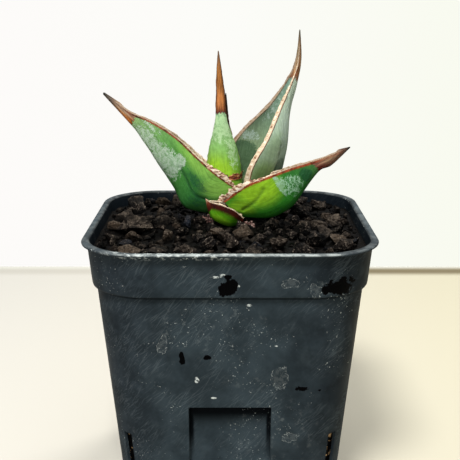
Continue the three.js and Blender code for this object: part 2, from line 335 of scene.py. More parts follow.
# ---------------------------------------------------------------------------
# Camera, floor and light

camera = bpy.data.objects.new("camera", bpy.data.cameras.new("camera"))
bpy.context.scene.collection.objects.link(camera)
camera.location = (0, -0.2805, 0.14765)
camera.rotation_euler = (math.radians(75.7), 0, 0)
camera.data.lens = 72.3
camera.data.sensor_width = 36
camera.data.clip_start = 0.01
bpy.context.scene.camera = camera

FLOOR_HALF_WIDTH = 450
FLOOR_FRONT = -550
FLOOR_BACK = 216
SHADE_LINE = 207
OVERHEAD_STOPS = [(0.42, "101114"), (0.56, "34373b"), (0.7, "8c9196"), (0.88, "dcdee0")]
BACKDROP_STOPS = [(0.38, "fdfbf9"), (0.5, "fcfcf8"), (0.64, "f8faee")]


def floor_paint():
    """Pale, and paler beyond a soft line of shade near the far edge."""
    paint = Paint("floor")
    x, y, _ = paint.split(paint.place())
    # Painted light: the floor turns yellower toward the right, where warmer light falls
    tones = [(0.0, "bcb9b0"), (0.5, "bbb6a8"), (1.0, "b8b299")]
    colour = paint.ramp(paint.step_mm(x, -150, 150), tones)
    colour = paint.mix(paint.step_mm(y, SHADE_LINE, FLOOR_BACK), colour, "c2c1b6")
    from_line = paint.magnitude(paint.minus(y, SHADE_LINE * MM))
    shade = paint.times(paint.step_mm(from_line, 1, 10, 1, 0), paint.step_mm(x, -30, 70, 0.2, 1.0))
    paint.set("Base Color", paint.mix(shade, colour, "6a5f42"))
    paint.set("Roughness", 0.7)
    return paint


def make_floor():
    left, right, front, back = -FLOOR_HALF_WIDTH, FLOOR_HALF_WIDTH, FLOOR_FRONT, FLOOR_BACK
    corners = [(left, front, 0), (right, front, 0), (right, back, 0), (left, back, 0)]
    floor = new_object("floor", corners, [(0, 1, 2, 3)])
    floor.data.materials.append(floor_paint().material)


def light_the_world():
    """Soft light that is bright overhead and dim low down, in front of a pale backdrop."""
    world = bpy.data.worlds.new("studio")
    world.use_nodes = True
    bpy.context.scene.world = world
    tree = world.node_tree
    tree.nodes.clear()
    direction = tree.nodes.new("ShaderNodeTexCoord").outputs["Generated"]
    split = tree.nodes.new("ShaderNodeSeparateXYZ")
    tree.links.new(direction, split.inputs[0])
    either = tree.nodes.new("ShaderNodeMixShader")
    path = tree.nodes.new("ShaderNodeLightPath")
    tree.links.new(path.outputs["Is Camera Ray"], either.inputs[0])
    for stops, axis, seen in ((OVERHEAD_STOPS, 2, 1), (BACKDROP_STOPS, 0, 2)):
        shares = tree.nodes.new("ShaderNodeMapRange")
        shares.inputs["From Min"].default_value = -1
        tree.links.new(split.outputs[axis], shares.inputs["Value"])
        ramp = tree.nodes.new("ShaderNodeValToRGB")
        fill_ramp(ramp.color_ramp, stops)
        tree.links.new(shares.outputs[0], ramp.inputs[0])
        background = tree.nodes.new("ShaderNodeBackground")
        tree.links.new(ramp.outputs[0], background.inputs["Color"])
        tree.links.new(background.outputs[0], either.inputs[seen])
    output = tree.nodes.new("ShaderNodeOutputWorld")
    tree.links.new(either.outputs[0], output.inputs["Surface"])


def softbox(name, location, target, size, power, colour):
    """A round soft lamp that faces its target."""
    lamp = bpy.data.lights.new(name, "AREA")
    lamp.shape = "DISK"
    lamp.size = size
    lamp.energy = power
    lamp.color = colour
    lamp_object = bpy.data.objects.new(name, lamp)
    bpy.context.scene.collection.objects.link(lamp_object)
    lamp_object.location = location
    toward = Vector(target) - Vector(location)
    lamp_object.rotation_euler = toward.to_track_quat("-Z", "Y").to_euler()


make_floor()
light_the_world()
softbox("key", (-0.12, -0.38, 0.72), (0, 0, 0.09), 0.22, 8.0, (1.0, 0.99, 0.98))
softbox("front", (-0.05, -0.75, 0.3), (0, 0, 0.06), 0.4, 1.3, (0.95, 0.98, 1.0))
softbox("back", (0.2, 0.45, 0.65), (0, 0, 0.1), 0.25, 3.5, (1.0, 0.98, 0.95))
bpy.context.scene.view_settings.view_transform = "Standard"


# ---------------------------------------------------------------------------
# Pot

LIP_WIDTH = 85
POT_HEIGHT = 80
LIP_HEIGHT = 0.9
LIP_OVERHANG = 1.4
COLLAR_HEIGHT = 13.2
COLLAR_STEP = 1.1
SIDE_SLOPE = 0.093
WALL = 0.8
POT_FLOOR = 1.8
CORNER_RADIUS = 18
CORNER_STEPS = 16
RECESS_HALF_WIDTH = 12
RECESS_HEIGHT = 32.5
RECESS_DRAFT = 0.7
RECESS_FOOT_DEPTH = 0.4
SLOT_WIDTH = 3.4
SLOT_BOTTOM = 4
SLOT_TOP = 22
DRAIN_RADIUS = 4
DRAIN_OFFSET = 16
SOIL_TOP = 76

COLLAR_WIDTH = LIP_WIDTH - 2 * LIP_OVERHANG
COLLAR_FOOT = POT_HEIGHT - COLLAR_HEIGHT


def wall_width(z):
    """Width of the tapered wall below the collar, outside."""
    return COLLAR_WIDTH - 2 * COLLAR_STEP - 2 * SIDE_SLOPE * (POT_HEIGHT - z)


def side_stations(reach, recess_half):
    """Places along one straight side, closer together at the recess's edges."""
    half = [0, recess_half * 0.33, recess_half * 0.66]
    half += [recess_half - RECESS_DRAFT * k for k in (1.4, 1.0, 0.85, 0.15, 0.0)]
    half += [recess_half + 0.25]
    half += [recess_half + 0.25 + (reach - recess_half - 0.25) * k for k in (0.3, 0.65, 1)]
    return [-x for x in reversed(half[1:])] + half


def pot_ring(width, z, recess_half, recess_top, recess_back):
    """One ring round the pot, which dips into the recess of each side."""
    radius = CORNER_RADIUS * width / LIP_WIDTH
    reach = width / 2 - radius
    ring = []
    for side in range(4):
        turn = Matrix.Rotation(side * math.pi / 2, 3, "Z")
        for x in side_stations(reach, recess_half):
            depth = max(width / 2 - recess_back, 0)
            across = 1 - smoothstep(abs(x), recess_half - RECESS_DRAFT, recess_half)
            upward = 1 - smoothstep(z, recess_top - RECESS_DRAFT, recess_top)
            ring.append(turn @ Vector((x, -width / 2 + depth * across * upward, z)))
        centre = Vector((reach, -reach, z))
        for step in range(1, CORNER_STEPS):
            angle = (step / CORNER_STEPS - 1) * math.pi / 2
            offset = Vector((math.cos(angle), math.sin(angle), 0)) * radius
            ring.append(turn @ (centre + offset))
    return ring


def recess_levels(top):
    """Heights of rings close together round the top of a recess."""
    return [top + RECESS_DRAFT * k for k in (-2.2, -1.4, -1.0, -0.85, -0.15, 0.0, 0.4)]


def pot_shell():
    """The pot as one closed wall: up its outside, over the lip and down inside."""
    foot_back = wall_width(0) / 2 - RECESS_FOOT_DEPTH
    lip_foot = POT_HEIGHT - LIP_HEIGHT
    outer = [(wall_width(0) - 1.6, 0), (wall_width(0) - 0.5, 0.25), (wall_width(0.9), 0.9)]
    heights = [3, 8, 13, 18, 23, 27, *recess_levels(RECESS_HEIGHT)]
    heights += [36, 40, 45, 50, 55, 60, 64, 66]
    outer += [(wall_width(z), z) for z in heights]
    outer.append((wall_width(COLLAR_FOOT) - 0.2, COLLAR_FOOT - 0.1))
    collar = wall_width(COLLAR_FOOT) + 2 * COLLAR_STEP
    outer += [(collar - 1.2, COLLAR_FOOT + 0.02), (collar - 0.35, COLLAR_FOOT + 0.12)]
    outer += [(collar - 0.08, COLLAR_FOOT + 0.35), (collar + 0.1, COLLAR_FOOT + 0.8)]
    outer += [(wall_width(z) + 2 * COLLAR_STEP, z) for z in (70, 73, 76, 77.6)]
    outer += [(COLLAR_WIDTH + 0.1, lip_foot - 0.25), (COLLAR_WIDTH + 0.7, lip_foot)]
    outer += [(LIP_WIDTH - 0.5, lip_foot + 0.06), (LIP_WIDTH - 0.1, lip_foot + 0.22)]
    outer += [(LIP_WIDTH, lip_foot + 0.45), (LIP_WIDTH - 0.06, POT_HEIGHT - 0.25)]
    outer += [(LIP_WIDTH - 0.35, POT_HEIGHT - 0.07), (LIP_WIDTH - 0.9, POT_HEIGHT)]
    cavity = COLLAR_WIDTH - 2 * WALL
    inner = [(cavity + 0.9, POT_HEIGHT), (cavity + 0.3, POT_HEIGHT - 0.2)]
    inner += [(cavity, POT_HEIGHT - 0.7)]
    ledge = COLLAR_FOOT + WALL
    levels = (77, 74, 70, ledge + COLLAR_STEP)
    inner += [(wall_width(z) + 2 * COLLAR_STEP - 2 * WALL, z) for z in levels]
    heights = [ledge, 65, 60, 50, 40, *reversed(recess_levels(RECESS_HEIGHT + WALL))]
    heights += [28, 20, 12, 5, POT_FLOOR + 0.6]
    inner += [(wall_width(z) - 2 * WALL, z) for z in heights]
    inner.append((wall_width(POT_FLOOR) - 2 * WALL - 1.2, POT_FLOOR))
    rings = [pot_ring(w, z, RECESS_HALF_WIDTH, RECESS_HEIGHT, foot_back) for w, z in outer]
    rings += [
        pot_ring(w, z, RECESS_HALF_WIDTH + WALL, RECESS_HEIGHT + WALL, foot_back - WALL)
        for w, z in inner
    ]
    return capped_tube(rings)


def slot_cutter(turn):
    """The shape of the upright slot through one corner."""
    middle = wall_width(SLOT_TOP) / math.sqrt(2) - CORNER_RADIUS * 0.3
    size = Matrix.Diagonal((16, SLOT_WIDTH, SLOT_TOP - SLOT_BOTTOM, 1))
    centre = Matrix.Translation((middle, 0, (SLOT_TOP + SLOT_BOTTOM) / 2))
    rotation = Matrix.Rotation(turn, 4, "Z")
    working = bmesh.new()
    bmesh.ops.create_cube(working, size=1, matrix=rotation @ centre @ size)
    return new_object("slot_cutter", *take_shape(working))


def drain_cutter(turn):
    """The shape of one round hole through the pot's floor."""
    centre = Matrix.Translation((DRAIN_OFFSET, DRAIN_OFFSET, 0))
    working = bmesh.new()
    bmesh.ops.create_cone(
        working,
        cap_ends=True,
        segments=40,
        radius1=DRAIN_RADIUS,
        radius2=DRAIN_RADIUS,
        depth=8,
        matrix=Matrix.Rotation(turn, 4, "Z") @ centre,
    )
    return new_object("drain_cutter", *take_shape(working))


# Marks on the pot's walls: side, with 0 for the front, place across and up it,
# and reach across and up, in millimetres
WET_MARKS = [
    (0, -0.6, 70.0, 2.4, 2.5),
    (0, -0.6, 73.2, 1.0, 0.7),
    (0, 30.7, 69.8, 5.0, 2.6),
    (0, -13.6, 48.3, 0.8, 1.9),
    (0, -6.3, 48.4, 1.2, 0.7),
    (0, 20.6, 38.6, 1.7, 0.9),
    (0, 26.0, 37.6, 0.9, 0.5),
    (0, 28.3, 34.0, 0.9, 1.2),
    (1, -9.0, 70.0, 3.0, 2.0),
    (2, 14.0, 52.0, 1.8, 2.6),
    (3, 8.0, 45.0, 2.0, 1.6),
]
SCALE_RINGS = [
    (0, -19.2, 52.6, 1.5, 3.0),
    (0, 14.2, 42.0, 2.6, 3.6),
    (0, 16.8, 71.5, 2.8, 1.5),
    (0, 23.6, 69.2, 1.8, 1.9),
    (0, 17.5, 22.5, 2.4, 1.6),
    (1, 12.0, 50.0, 3.0, 2.2),
    (2, -8.0, 60.0, 2.6, 3.0),
    (3, -14.0, 30.0, 2.2, 3.2),
]
MINERAL_SPOTS = [
    (0, -3.8, 73.2, 1.6, 0.35),
    (0, -2.0, 73.9, 0.9, 0.3),
    (0, 2.4, 70.6, 0.35, 0.35),
    (0, 5.4, 64.5, 0.7, 0.4),
    (0, -9.3, 41.4, 0.7, 0.9),
    (0, -4.5, 35.6, 0.9, 0.3),
    (0, 13.0, 52.0, 0.5, 0.3),
    (1, 4.0, 60.0, 0.6, 0.4),
    (2, -5.0, 48.0, 0.5, 0.5),
    (3, 9.0, 66.0, 0.7, 0.4),
]


def wall_point(side, across, z):
    """The point on the pot's outer wall at a place across and up one side, in metres."""
    out = (wall_width(z) + (2 * COLLAR_STEP if z > COLLAR_FOOT else 0)) / 2
    return Matrix.Rotation(side * math.pi / 2, 3, "Z") @ Vector((across, -out, z)) * MM


def mark_distance(paint, place, side, across, z, reach_x, reach_z):
    """0 in the middle of a mark and 1 at its ragged outline."""
    away = paint.vectors("SUBTRACT", place, tuple(wall_point(side, across, z)))
    reach_y = max(reach_x, reach_z)
    reach = (reach_x, reach_y, reach_z) if side % 2 == 0 else (reach_y, reach_x, reach_z)
    scaled = paint.vectors("DIVIDE", away, tuple(length * MM for length in reach))
    ragged = paint.step(paint.noise(place, 480, 3, 0.6), 0.2, 0.8, -0.45, 0.45)
    return paint.plus(paint.vectors("LENGTH", scaled, None), ragged)


def marks_share(paint, place, marks, low, high):
    """1 inside any of the marks and 0 outside them."""
    distances = [mark_distance(paint, place, *mark) for mark in marks]
    return paint.most(*[paint.step(distance, low, high, 1, 0) for distance in distances])


def scratches(paint, place):
    """Fine scratches that run up to the right on every side, in patches."""
    x, y, z = paint.split(place)
    flat = paint.join(paint.plus(x, paint.times(y, -0.6)), z, paint.times(y, 0.2))
    found = 0.0
    for angle, scale, low in ((-0.75, 3000, 0.6), (-0.55, 3600, 0.62), (-1.0, 2400, 0.62)):
        lined_up = paint.turned(paint.turned(flat, (0, 0, angle)), scale=(0.05, 1, 1))
        found = paint.most(found, paint.step(paint.noise(lined_up, scale, 1, 0.4), low, low + 0.06))
    return paint.times(found, paint.step(paint.noise(place, 90), 0.42, 0.62))


def inner_wall_shade(paint, place):
    """1 on the faces that look toward the pot's middle, which are darkened as painted shade."""
    x, y, _ = paint.split(place)
    nx, ny, _ = paint.split(paint.normal())
    outward = paint.plus(paint.times(x, nx), paint.times(y, ny))
    return paint.step_mm(outward, -4, -16)


def across_side(paint, place):
    """How far a place on any side of the pot is from the side's middle."""
    x, y, _ = paint.split(place)
    return paint.least(paint.magnitude(x), paint.magnitude(y))


def recess_shade(paint, place):
    """Painted shade under the ledge of each recess, and down the recess's edges."""
    x, y, z = paint.split(place)
    across = across_side(paint, place)
    out = paint.most(paint.magnitude(x), paint.magnitude(y))
    wall = paint.plus(paint.times(z, SIDE_SLOPE), wall_width(0) / 2 * MM)
    under = paint.step_mm(z, RECESS_HEIGHT - 6, RECESS_HEIGHT - 3)
    beside = paint.step_mm(across, RECESS_HALF_WIDTH - 1.8, RECESS_HALF_WIDTH - 1)
    share = paint.most(under, paint.times(beside, paint.step_mm(z, 14, 24)))
    within = paint.step_mm(across, RECESS_HALF_WIDTH + 0.3, RECESS_HALF_WIDTH)
    below = paint.step_mm(z, RECESS_HEIGHT + 0.3, RECESS_HEIGHT)
    inward = paint.step_mm(paint.minus(wall, out), 0.3, 0.7)
    return paint.times(share, within, below, inward)


def plastic_colour(paint, place, haze, scratch_share):
    """Near-black plastic, hazy and scratched, with painted light mid-side and painted shade in
    recesses, under the collar and inside.
    """
    height = paint.split(place)[2]
    # Painted light: each side is paler in its middle than near its corners, which turn away from the
    # light
    middle = paint.step_mm(across_side(paint, place), 12, 34, 1, 0)
    colour = paint.mix(paint.step(haze, 0.38, 0.62), "191f24", "262d32")
    colour = paint.mix(paint.times(middle, 0.7), colour, "2f393e")
    blotches = paint.noise(place, 75, 4, 0.7)
    colour = paint.shade(colour, paint.step(blotches, 0.36, 0.64, 0.7, 1.16))
    smudge = paint.noise(place, 160, 4, 0.6)
    colour = paint.mix(paint.step(smudge, 0.5, 0.7, 0, 0.35), colour, "363f43")
    colour = paint.mix(paint.times(scratch_share, 0.12), colour, "747e82")
    # Painted shade under each recess's ledge and down its edges
    colour = paint.mix(paint.times(recess_shade(paint, place), 0.95), colour, "020407")
    # Painted shade: a thin dark line under the collar's ledge
    under_collar_shade = paint.times(
        paint.step_mm(height, COLLAR_FOOT - 0.9, COLLAR_FOOT - 0.3),
        paint.step_mm(height, COLLAR_FOOT + 0.1, COLLAR_FOOT + 0.3, 1, 0),
    )
    colour = paint.mix(paint.times(under_collar_shade, 0.7), colour, "06090b")
    # Painted shade on the faces turned toward the pot's middle
    return paint.mix(paint.times(inner_wall_shade(paint, place), 0.8), colour, "060a0f")


def mineral_share(paint, place):
    """Specks, crusts, ring stains and spots of dried mineral on the walls."""
    specks = paint.step(paint.noise(place, 1700, 2, 0.6), 0.67, 0.72, 0, 0.8)
    specks = paint.times(specks, paint.step(paint.noise(place, 70), 0.5, 0.6))
    crusts = paint.step(paint.noise(place, 420, 5, 0.7), 0.55, 0.7)
    crusts = paint.times(crusts, paint.step(paint.noise(place, 34), 0.5, 0.66, 0, 0.09))
    rings = 0.0
    for mark in SCALE_RINGS:
        distance = mark_distance(paint, place, *mark)
        edge = paint.magnitude(paint.minus(distance, 0.9))
        line = paint.step(edge, 0.01, 0.06, 0.5, 0)
        rings = paint.most(rings, line, paint.step(distance, 0.7, 1.0, 0.06, 0))
    rings = paint.times(rings, paint.step(paint.noise(place, 900, 3, 0.7), 0.42, 0.56, 0.1, 1))
    spots = marks_share(paint, place, MINERAL_SPOTS, 0.7, 1.1)
    spots = paint.times(spots, paint.step(paint.noise(place, 1300, 3, 0.7), 0.42, 0.54, 0.1, 1))
    return paint.most(specks, crusts, rings, spots)


def pot_paint():
    """Weathered black plastic with a pale lip, mineral marks and wet marks."""
    paint = Paint("pot_plastic")
    place = paint.place()
    x, y, height = paint.split(place)
    haze = paint.noise(place, 45, 5, 0.62)
    scratch_share = scratches(paint, place)
    colour = plastic_colour(paint, place, haze, scratch_share)
    # The lip is rubbed pale and carries a painted highlight along its front edge, with a line of
    # deposit along the front of it
    front = -LIP_WIDTH / 2
    lip_rub_and_highlight = paint.step_mm(height, POT_HEIGHT - 0.55, POT_HEIGHT - 0.15)
    lip_rub_and_highlight = paint.times(lip_rub_and_highlight, paint.step_mm(y, front + 2, front + 0.4, 0.16, 0.9))
    rub = paint.step(paint.noise(place, 260, 4, 0.65), 0.42, 0.58, 0.35, 1)
    colour = paint.mix(paint.times(lip_rub_and_highlight, rub), colour, "9aa09d")
    deposit = paint.times(
        paint.step_mm(y, front + 4.5, front + 1.5),
        paint.step_mm(x, 12, -10),
        paint.step_mm(height, POT_HEIGHT - 2.2, POT_HEIGHT - 1),
        paint.step(paint.noise(place, 500, 4, 0.7), 0.5, 0.6),
    )
    mineral = paint.most(mineral_share(paint, place), paint.times(deposit, 0.8))
    colour = paint.mix(mineral, colour, "b4bab7")
    wet = marks_share(paint, place, WET_MARKS, 0.95, 1.1)
    paint.set("Base Color", paint.mix(wet, colour, "010102"))
    paint.set("Specular IOR Level", 0.02)
    gloss = paint.plus(paint.step(haze, 0.4, 0.62, 0.42, 0.56), paint.times(mineral, 0.25))
    paint.set("Roughness", paint.minus(gloss, paint.times(wet, 0.2)))
    fine = paint.times(paint.noise(place, 1100), 0.35)
    relief = paint.minus(fine, paint.times(scratch_share, 0.4))
    paint.bump(paint.plus(relief, paint.times(mineral, 0.8)), 0.03)
    return paint


def make_pot():
    """The pot's shell, with a slot in each corner and four drain holes cut out."""
    pot = new_object("pot_body", *pot_shell())
    tidy_normals(pot, 40)
    quarter_turns = [side * math.pi / 2 for side in range(4)]
    carve(pot, [slot_cutter(turn + math.pi / 4) for turn in quarter_turns])
    carve(pot, [drain_cutter(turn) for turn in quarter_turns])
    tidy_normals(pot, 40)
    return finish_piece(pot, pot_paint(), ["nursery_pot"])


# ---------------------------------------------------------------------------
# Leaves

# The rows of each leaf, as in the CAD model: keel out and up, margins out and
# up, half-width, and for a channel that leans over, how far it slants.
LEAVES = {
    "leaf_inner": {
        "foot": (-0.6, 17, 76.4),
        "heading": 265,
        "tilt": 1,
        "thickness": 1.4,
        "fold": 2,
        "rows": [
            (2, 0, 0, 0, 2.4),
            (2, 15, -0.5, 15, 2.8),
            (1.6, 27, 0.2, 27, 1.8),
            (1.2, 32, 0.2, 32, 0.9),
            (0.7, 40.5, 0.4, 40.5, 0.2),
        ],
    },
    "leaf_centre": {
        "foot": (-1.4, 14, 76.4),
        "heading": 268,
        "tilt": 2.4,
        "thickness": 2.4,
        "fold": 2,
        "rows": [
            (2, 0, -3, 0, 5.2),
            (2.5, 12, -3, 12, 5.9),
            (2.2, 22, -2, 22, 4.8),
            (1.8, 32, 0.2, 31, 2.2),
            (1.6, 37.5, -0.4, 37.5, 1.6),
            (1.2, 46.5, -0.2, 46.5, 1),
            (0.6, 54, 0.2, 54, 0.2),
        ],
    },
    "leaf_back_right": {
        "foot": (7, 16, 77),
        "heading": 40,
        "tilt": 0,
        "thickness": 2.2,
        "fold": 1.7,
        "rows": [
            (3, 0, -6, 6, 4),
            (11, 10, -6.6, 17.3, 7.8),
            (15, 22, 0.4, 26.2, 7.6),
            (16.4, 32, 10.3, 36, 3.4),
            (20.2, 43, 17.5, 45, 1.4),
            (21.7, 50, 20, 51, 0.8),
            (21, 59.3, 20.7, 59.3, 0.2),
        ],
    },
    "leaf_left": {
        "foot": (-2, 14, 78),
        "heading": 180,
        "tilt": 0,
        "thickness": 2.6,
        "fold": 2,
        "rows": [
            (0, 0, -5, 9, 4.5, 0),
            (12, 2, 2, 14, 5.5, 0.02),
            (17, 10, 8, 19, 5, 0.06),
            (22.6, 18.8, 15, 25.5, 3.6, 0.08),
            (27.3, 26.3, 23, 30.5, 2, 0.08),
            (31, 30.8, 29.9, 33.5, 1.3, 0.06),
            (38.2, 38.9, 37.9, 39.4, 0.3, 0),
        ],
    },
    "leaf_right": {
        "foot": (4, 9.5, 78),
        "heading": -3,
        "tilt": 0,
        "thickness": 2.6,
        "fold": 2,
        "rows": [
            (0, 0, -6, 6, 4, -0.05),
            (9, 0, 1, 11, 5.5, -0.08),
            (16, 3.8, 9, 14.2, 5, -0.1),
            (20, 9.4, 15, 16.4, 3.4, -0.1),
            (24.4, 15.4, 22, 18.5, 2, -0.1),
            (28.2, 17.3, 27.2, 20.4, 1.2, -0.08),
            (33.8, 22.8, 33.6, 23.1, 0.3, 0),
        ],
    },
    "scale_leaf": {
        "foot": (3, 4.5, 76.4),
        "heading": 190,
        "tilt": 0,
        "thickness": 1.2,
        "fold": 2,
        "rows": [
            (0, 0, -1, 3, 2.5),
            (4, 0, 2.5, 6, 4),
            (8.5, 2.5, 6, 7.5, 3),
            (10.3, 6, 9.5, 8.3, 1),
            (10.8, 8.8, 10.6, 9, 0.3),
        ],
    },
}

STEPS_PER_ROW = 26
BACK_STEPS = 64
CHANNEL_STEPS = 44
EDGE_STEPS = 4
# The most a margin's edge may take of the half-width, how far its top bulges,
# the length of the pointed tip, and the gap between leaves that meet
WIDEST_EDGE = 0.42
EDGE_CROWN = 0.22
TIP_LENGTH = 0.35
CLEARANCE = 0.05
# What a leaf's shader gets in its channel; it gets 0 outside, and half of this
# on a margin's edge. It is large, so that noise differs on the two sides.
CHANNEL = 50


def smooth_line(points, steps):
    """A smooth line through the points, with the same steps between each pair."""
    points = np.array(points, float)
    before = 2 * points[0] - points[1]
    after = 2 * points[-1] - points[-2]
    padded = np.vstack([before, points, after])
    line = []
    for k in range(len(points) - 1):
        a, b, c, d = padded[k : k + 4]
        for t in np.arange(steps) / steps:
            line.append(
                0.5
                * (
                    2 * b
                    + (c - a) * t
                    + (2 * a - 5 * b + 4 * c - d) * t**2
                    + (3 * b - a - 3 * c + d) * t**3
                )
            )
    line.append(points[-1])
    return np.array(line)


def leaf_to_frame(leaf, points):
    """From the leaf's own plane to the frame of the whole model."""
    turn = Matrix.Rotation(math.radians(leaf["heading"]), 3, "Z")
    turn = turn @ Matrix.Rotation(math.radians(leaf["tilt"]), 3, "X")
    return points @ np.array(turn).T + np.array(leaf["foot"])


def arc(half_width, depth_share, fold, slant, angles, margin, keel):
    """Part of a section: from one margin, round a depth below them, to the other."""
    cos, sin = np.cos(angles), np.clip(np.sin(angles), 0, 1)
    across = np.sign(cos) * np.abs(cos) ** (2 / fold) * half_width
    down = (sin ** (2 / fold) * depth_share)[:, None]
    plane = margin + (keel - margin) * down
    up = plane[:, 1] + slant * across * (1 - down[:, 0])
    return np.column_stack([plane[:, 0], across, up])


def leaf_rings(leaf, look, grow=0.0):
    """Sections along the leaf, and for each point its share of the length, its
    distance along and across, its share of the way to a margin, its distance
    from a margin's edge, and whether it is inside the channel."""
    rows = leaf["rows"]
    keels = smooth_line([row[:2] for row in rows], STEPS_PER_ROW)
    margins = smooth_line([row[2:4] for row in rows], STEPS_PER_ROW)
    others = smooth_line([(row[4], row[5] if len(row) > 5 else 0) for row in rows], STEPS_PER_ROW)
    lengths = lengths_along(keels)
    back_angles = np.linspace(0, math.pi, BACK_STEPS + 1)
    channel_angles = np.linspace(math.pi, 0, CHANNEL_STEPS + 1)
    sections, facts = [], []
    for k in range(len(keels)):
        t = k / (len(keels) - 1)
        toward_keel = keels[k] - margins[k]
        depth = np.linalg.norm(toward_keel)
        keel = keels[k] + toward_keel / depth * grow
        margin = margins[k] - toward_keel / depth * grow
        half, slant = others[k, 0] + grow, others[k, 1]
        opening = 0.0 if grow else max(1 - leaf["thickness"] / depth, -0.35)
        toward_foot = 1 - float(smoothstep(t, 0.1, 0.45))
        widened = look["edge"] + (look["foot_edge"] - look["edge"]) * toward_foot
        edge = min(widened, WIDEST_EDGE * half)
        fold = leaf["fold"]
        back = arc(half, 1, fold, slant, back_angles, margin, keel)
        channel = arc(half - edge, opening, fold, slant, channel_angles, margin, keel)
        crown = -toward_keel / depth * min(EDGE_CROWN, edge * 0.3)
        edges = []
        for start, end in ((back[-1], channel[0]), (channel[-1], back[0])):
            shares = np.arange(1, EDGE_STEPS) / EDGE_STEPS
            strip = start + (end - start) * shares[:, None]
            strip[:, [0, 2]] += np.sin(shares * math.pi)[:, None] * crown
            edges.append(strip)
        sections.append(np.vstack([back, edges[0], channel, edges[1]]))
        facts.append(section_facts(back, channel, edges[0], t, lengths[k]))
    return sections, facts


def section_facts(back, channel, strip, t, along):
    """The facts about the points of one section, as leaf_rings describes them."""
    rows = []
    for part, inside, sign in ((back, 0, 1), (strip, 0.5, -1), (channel, 1, -1), (strip, 0.5, 1)):
        flat = np.ones(len(part))
        if part is strip:
            across, share, edge = flat * sign * abs(back[0][1]), flat * sign, flat * 0
        else:
            steps = lengths_along(part)
            half = max(steps[-1], 1e-6) / 2
            across = (half - steps) * sign
            share = across / half
            edge = np.minimum(steps, 2 * half - steps)
        rows.append(np.column_stack([flat * t, flat * along, across, share, edge, flat * inside]))
    return np.vstack(rows)


def leaf_mesh(name, leaf, look, grow=0.0):
    """A leaf with a pointed tip, swollen by grow, and the facts about its points."""
    sections, facts = leaf_rings(leaf, look, grow)
    count = len(sections[0])
    points = np.vstack(sections)
    facts = np.vstack(facts)
    last = sections[-1].mean(0)
    ahead = last - sections[-4].mean(0)
    tip = last + ahead / np.linalg.norm(ahead) * (TIP_LENGTH + grow)
    if grow:
        foot_step = sections[0].mean(0) - sections[1].mean(0)
        points[:count] += foot_step / np.linalg.norm(foot_step) * grow
    points = np.vstack([points, tip])
    facts = np.vstack([facts, facts[-1]])
    faces = ring_faces(len(sections), count)
    tip_index = len(points) - 1
    start = tip_index - count
    faces += [(start + k, start + (k + 1) % count, tip_index) for k in range(count)]
    faces.append(tuple(range(count)))
    piece = new_object(name, leaf_to_frame(leaf, points), faces)
    tidy_normals(piece, 180)
    return piece, facts
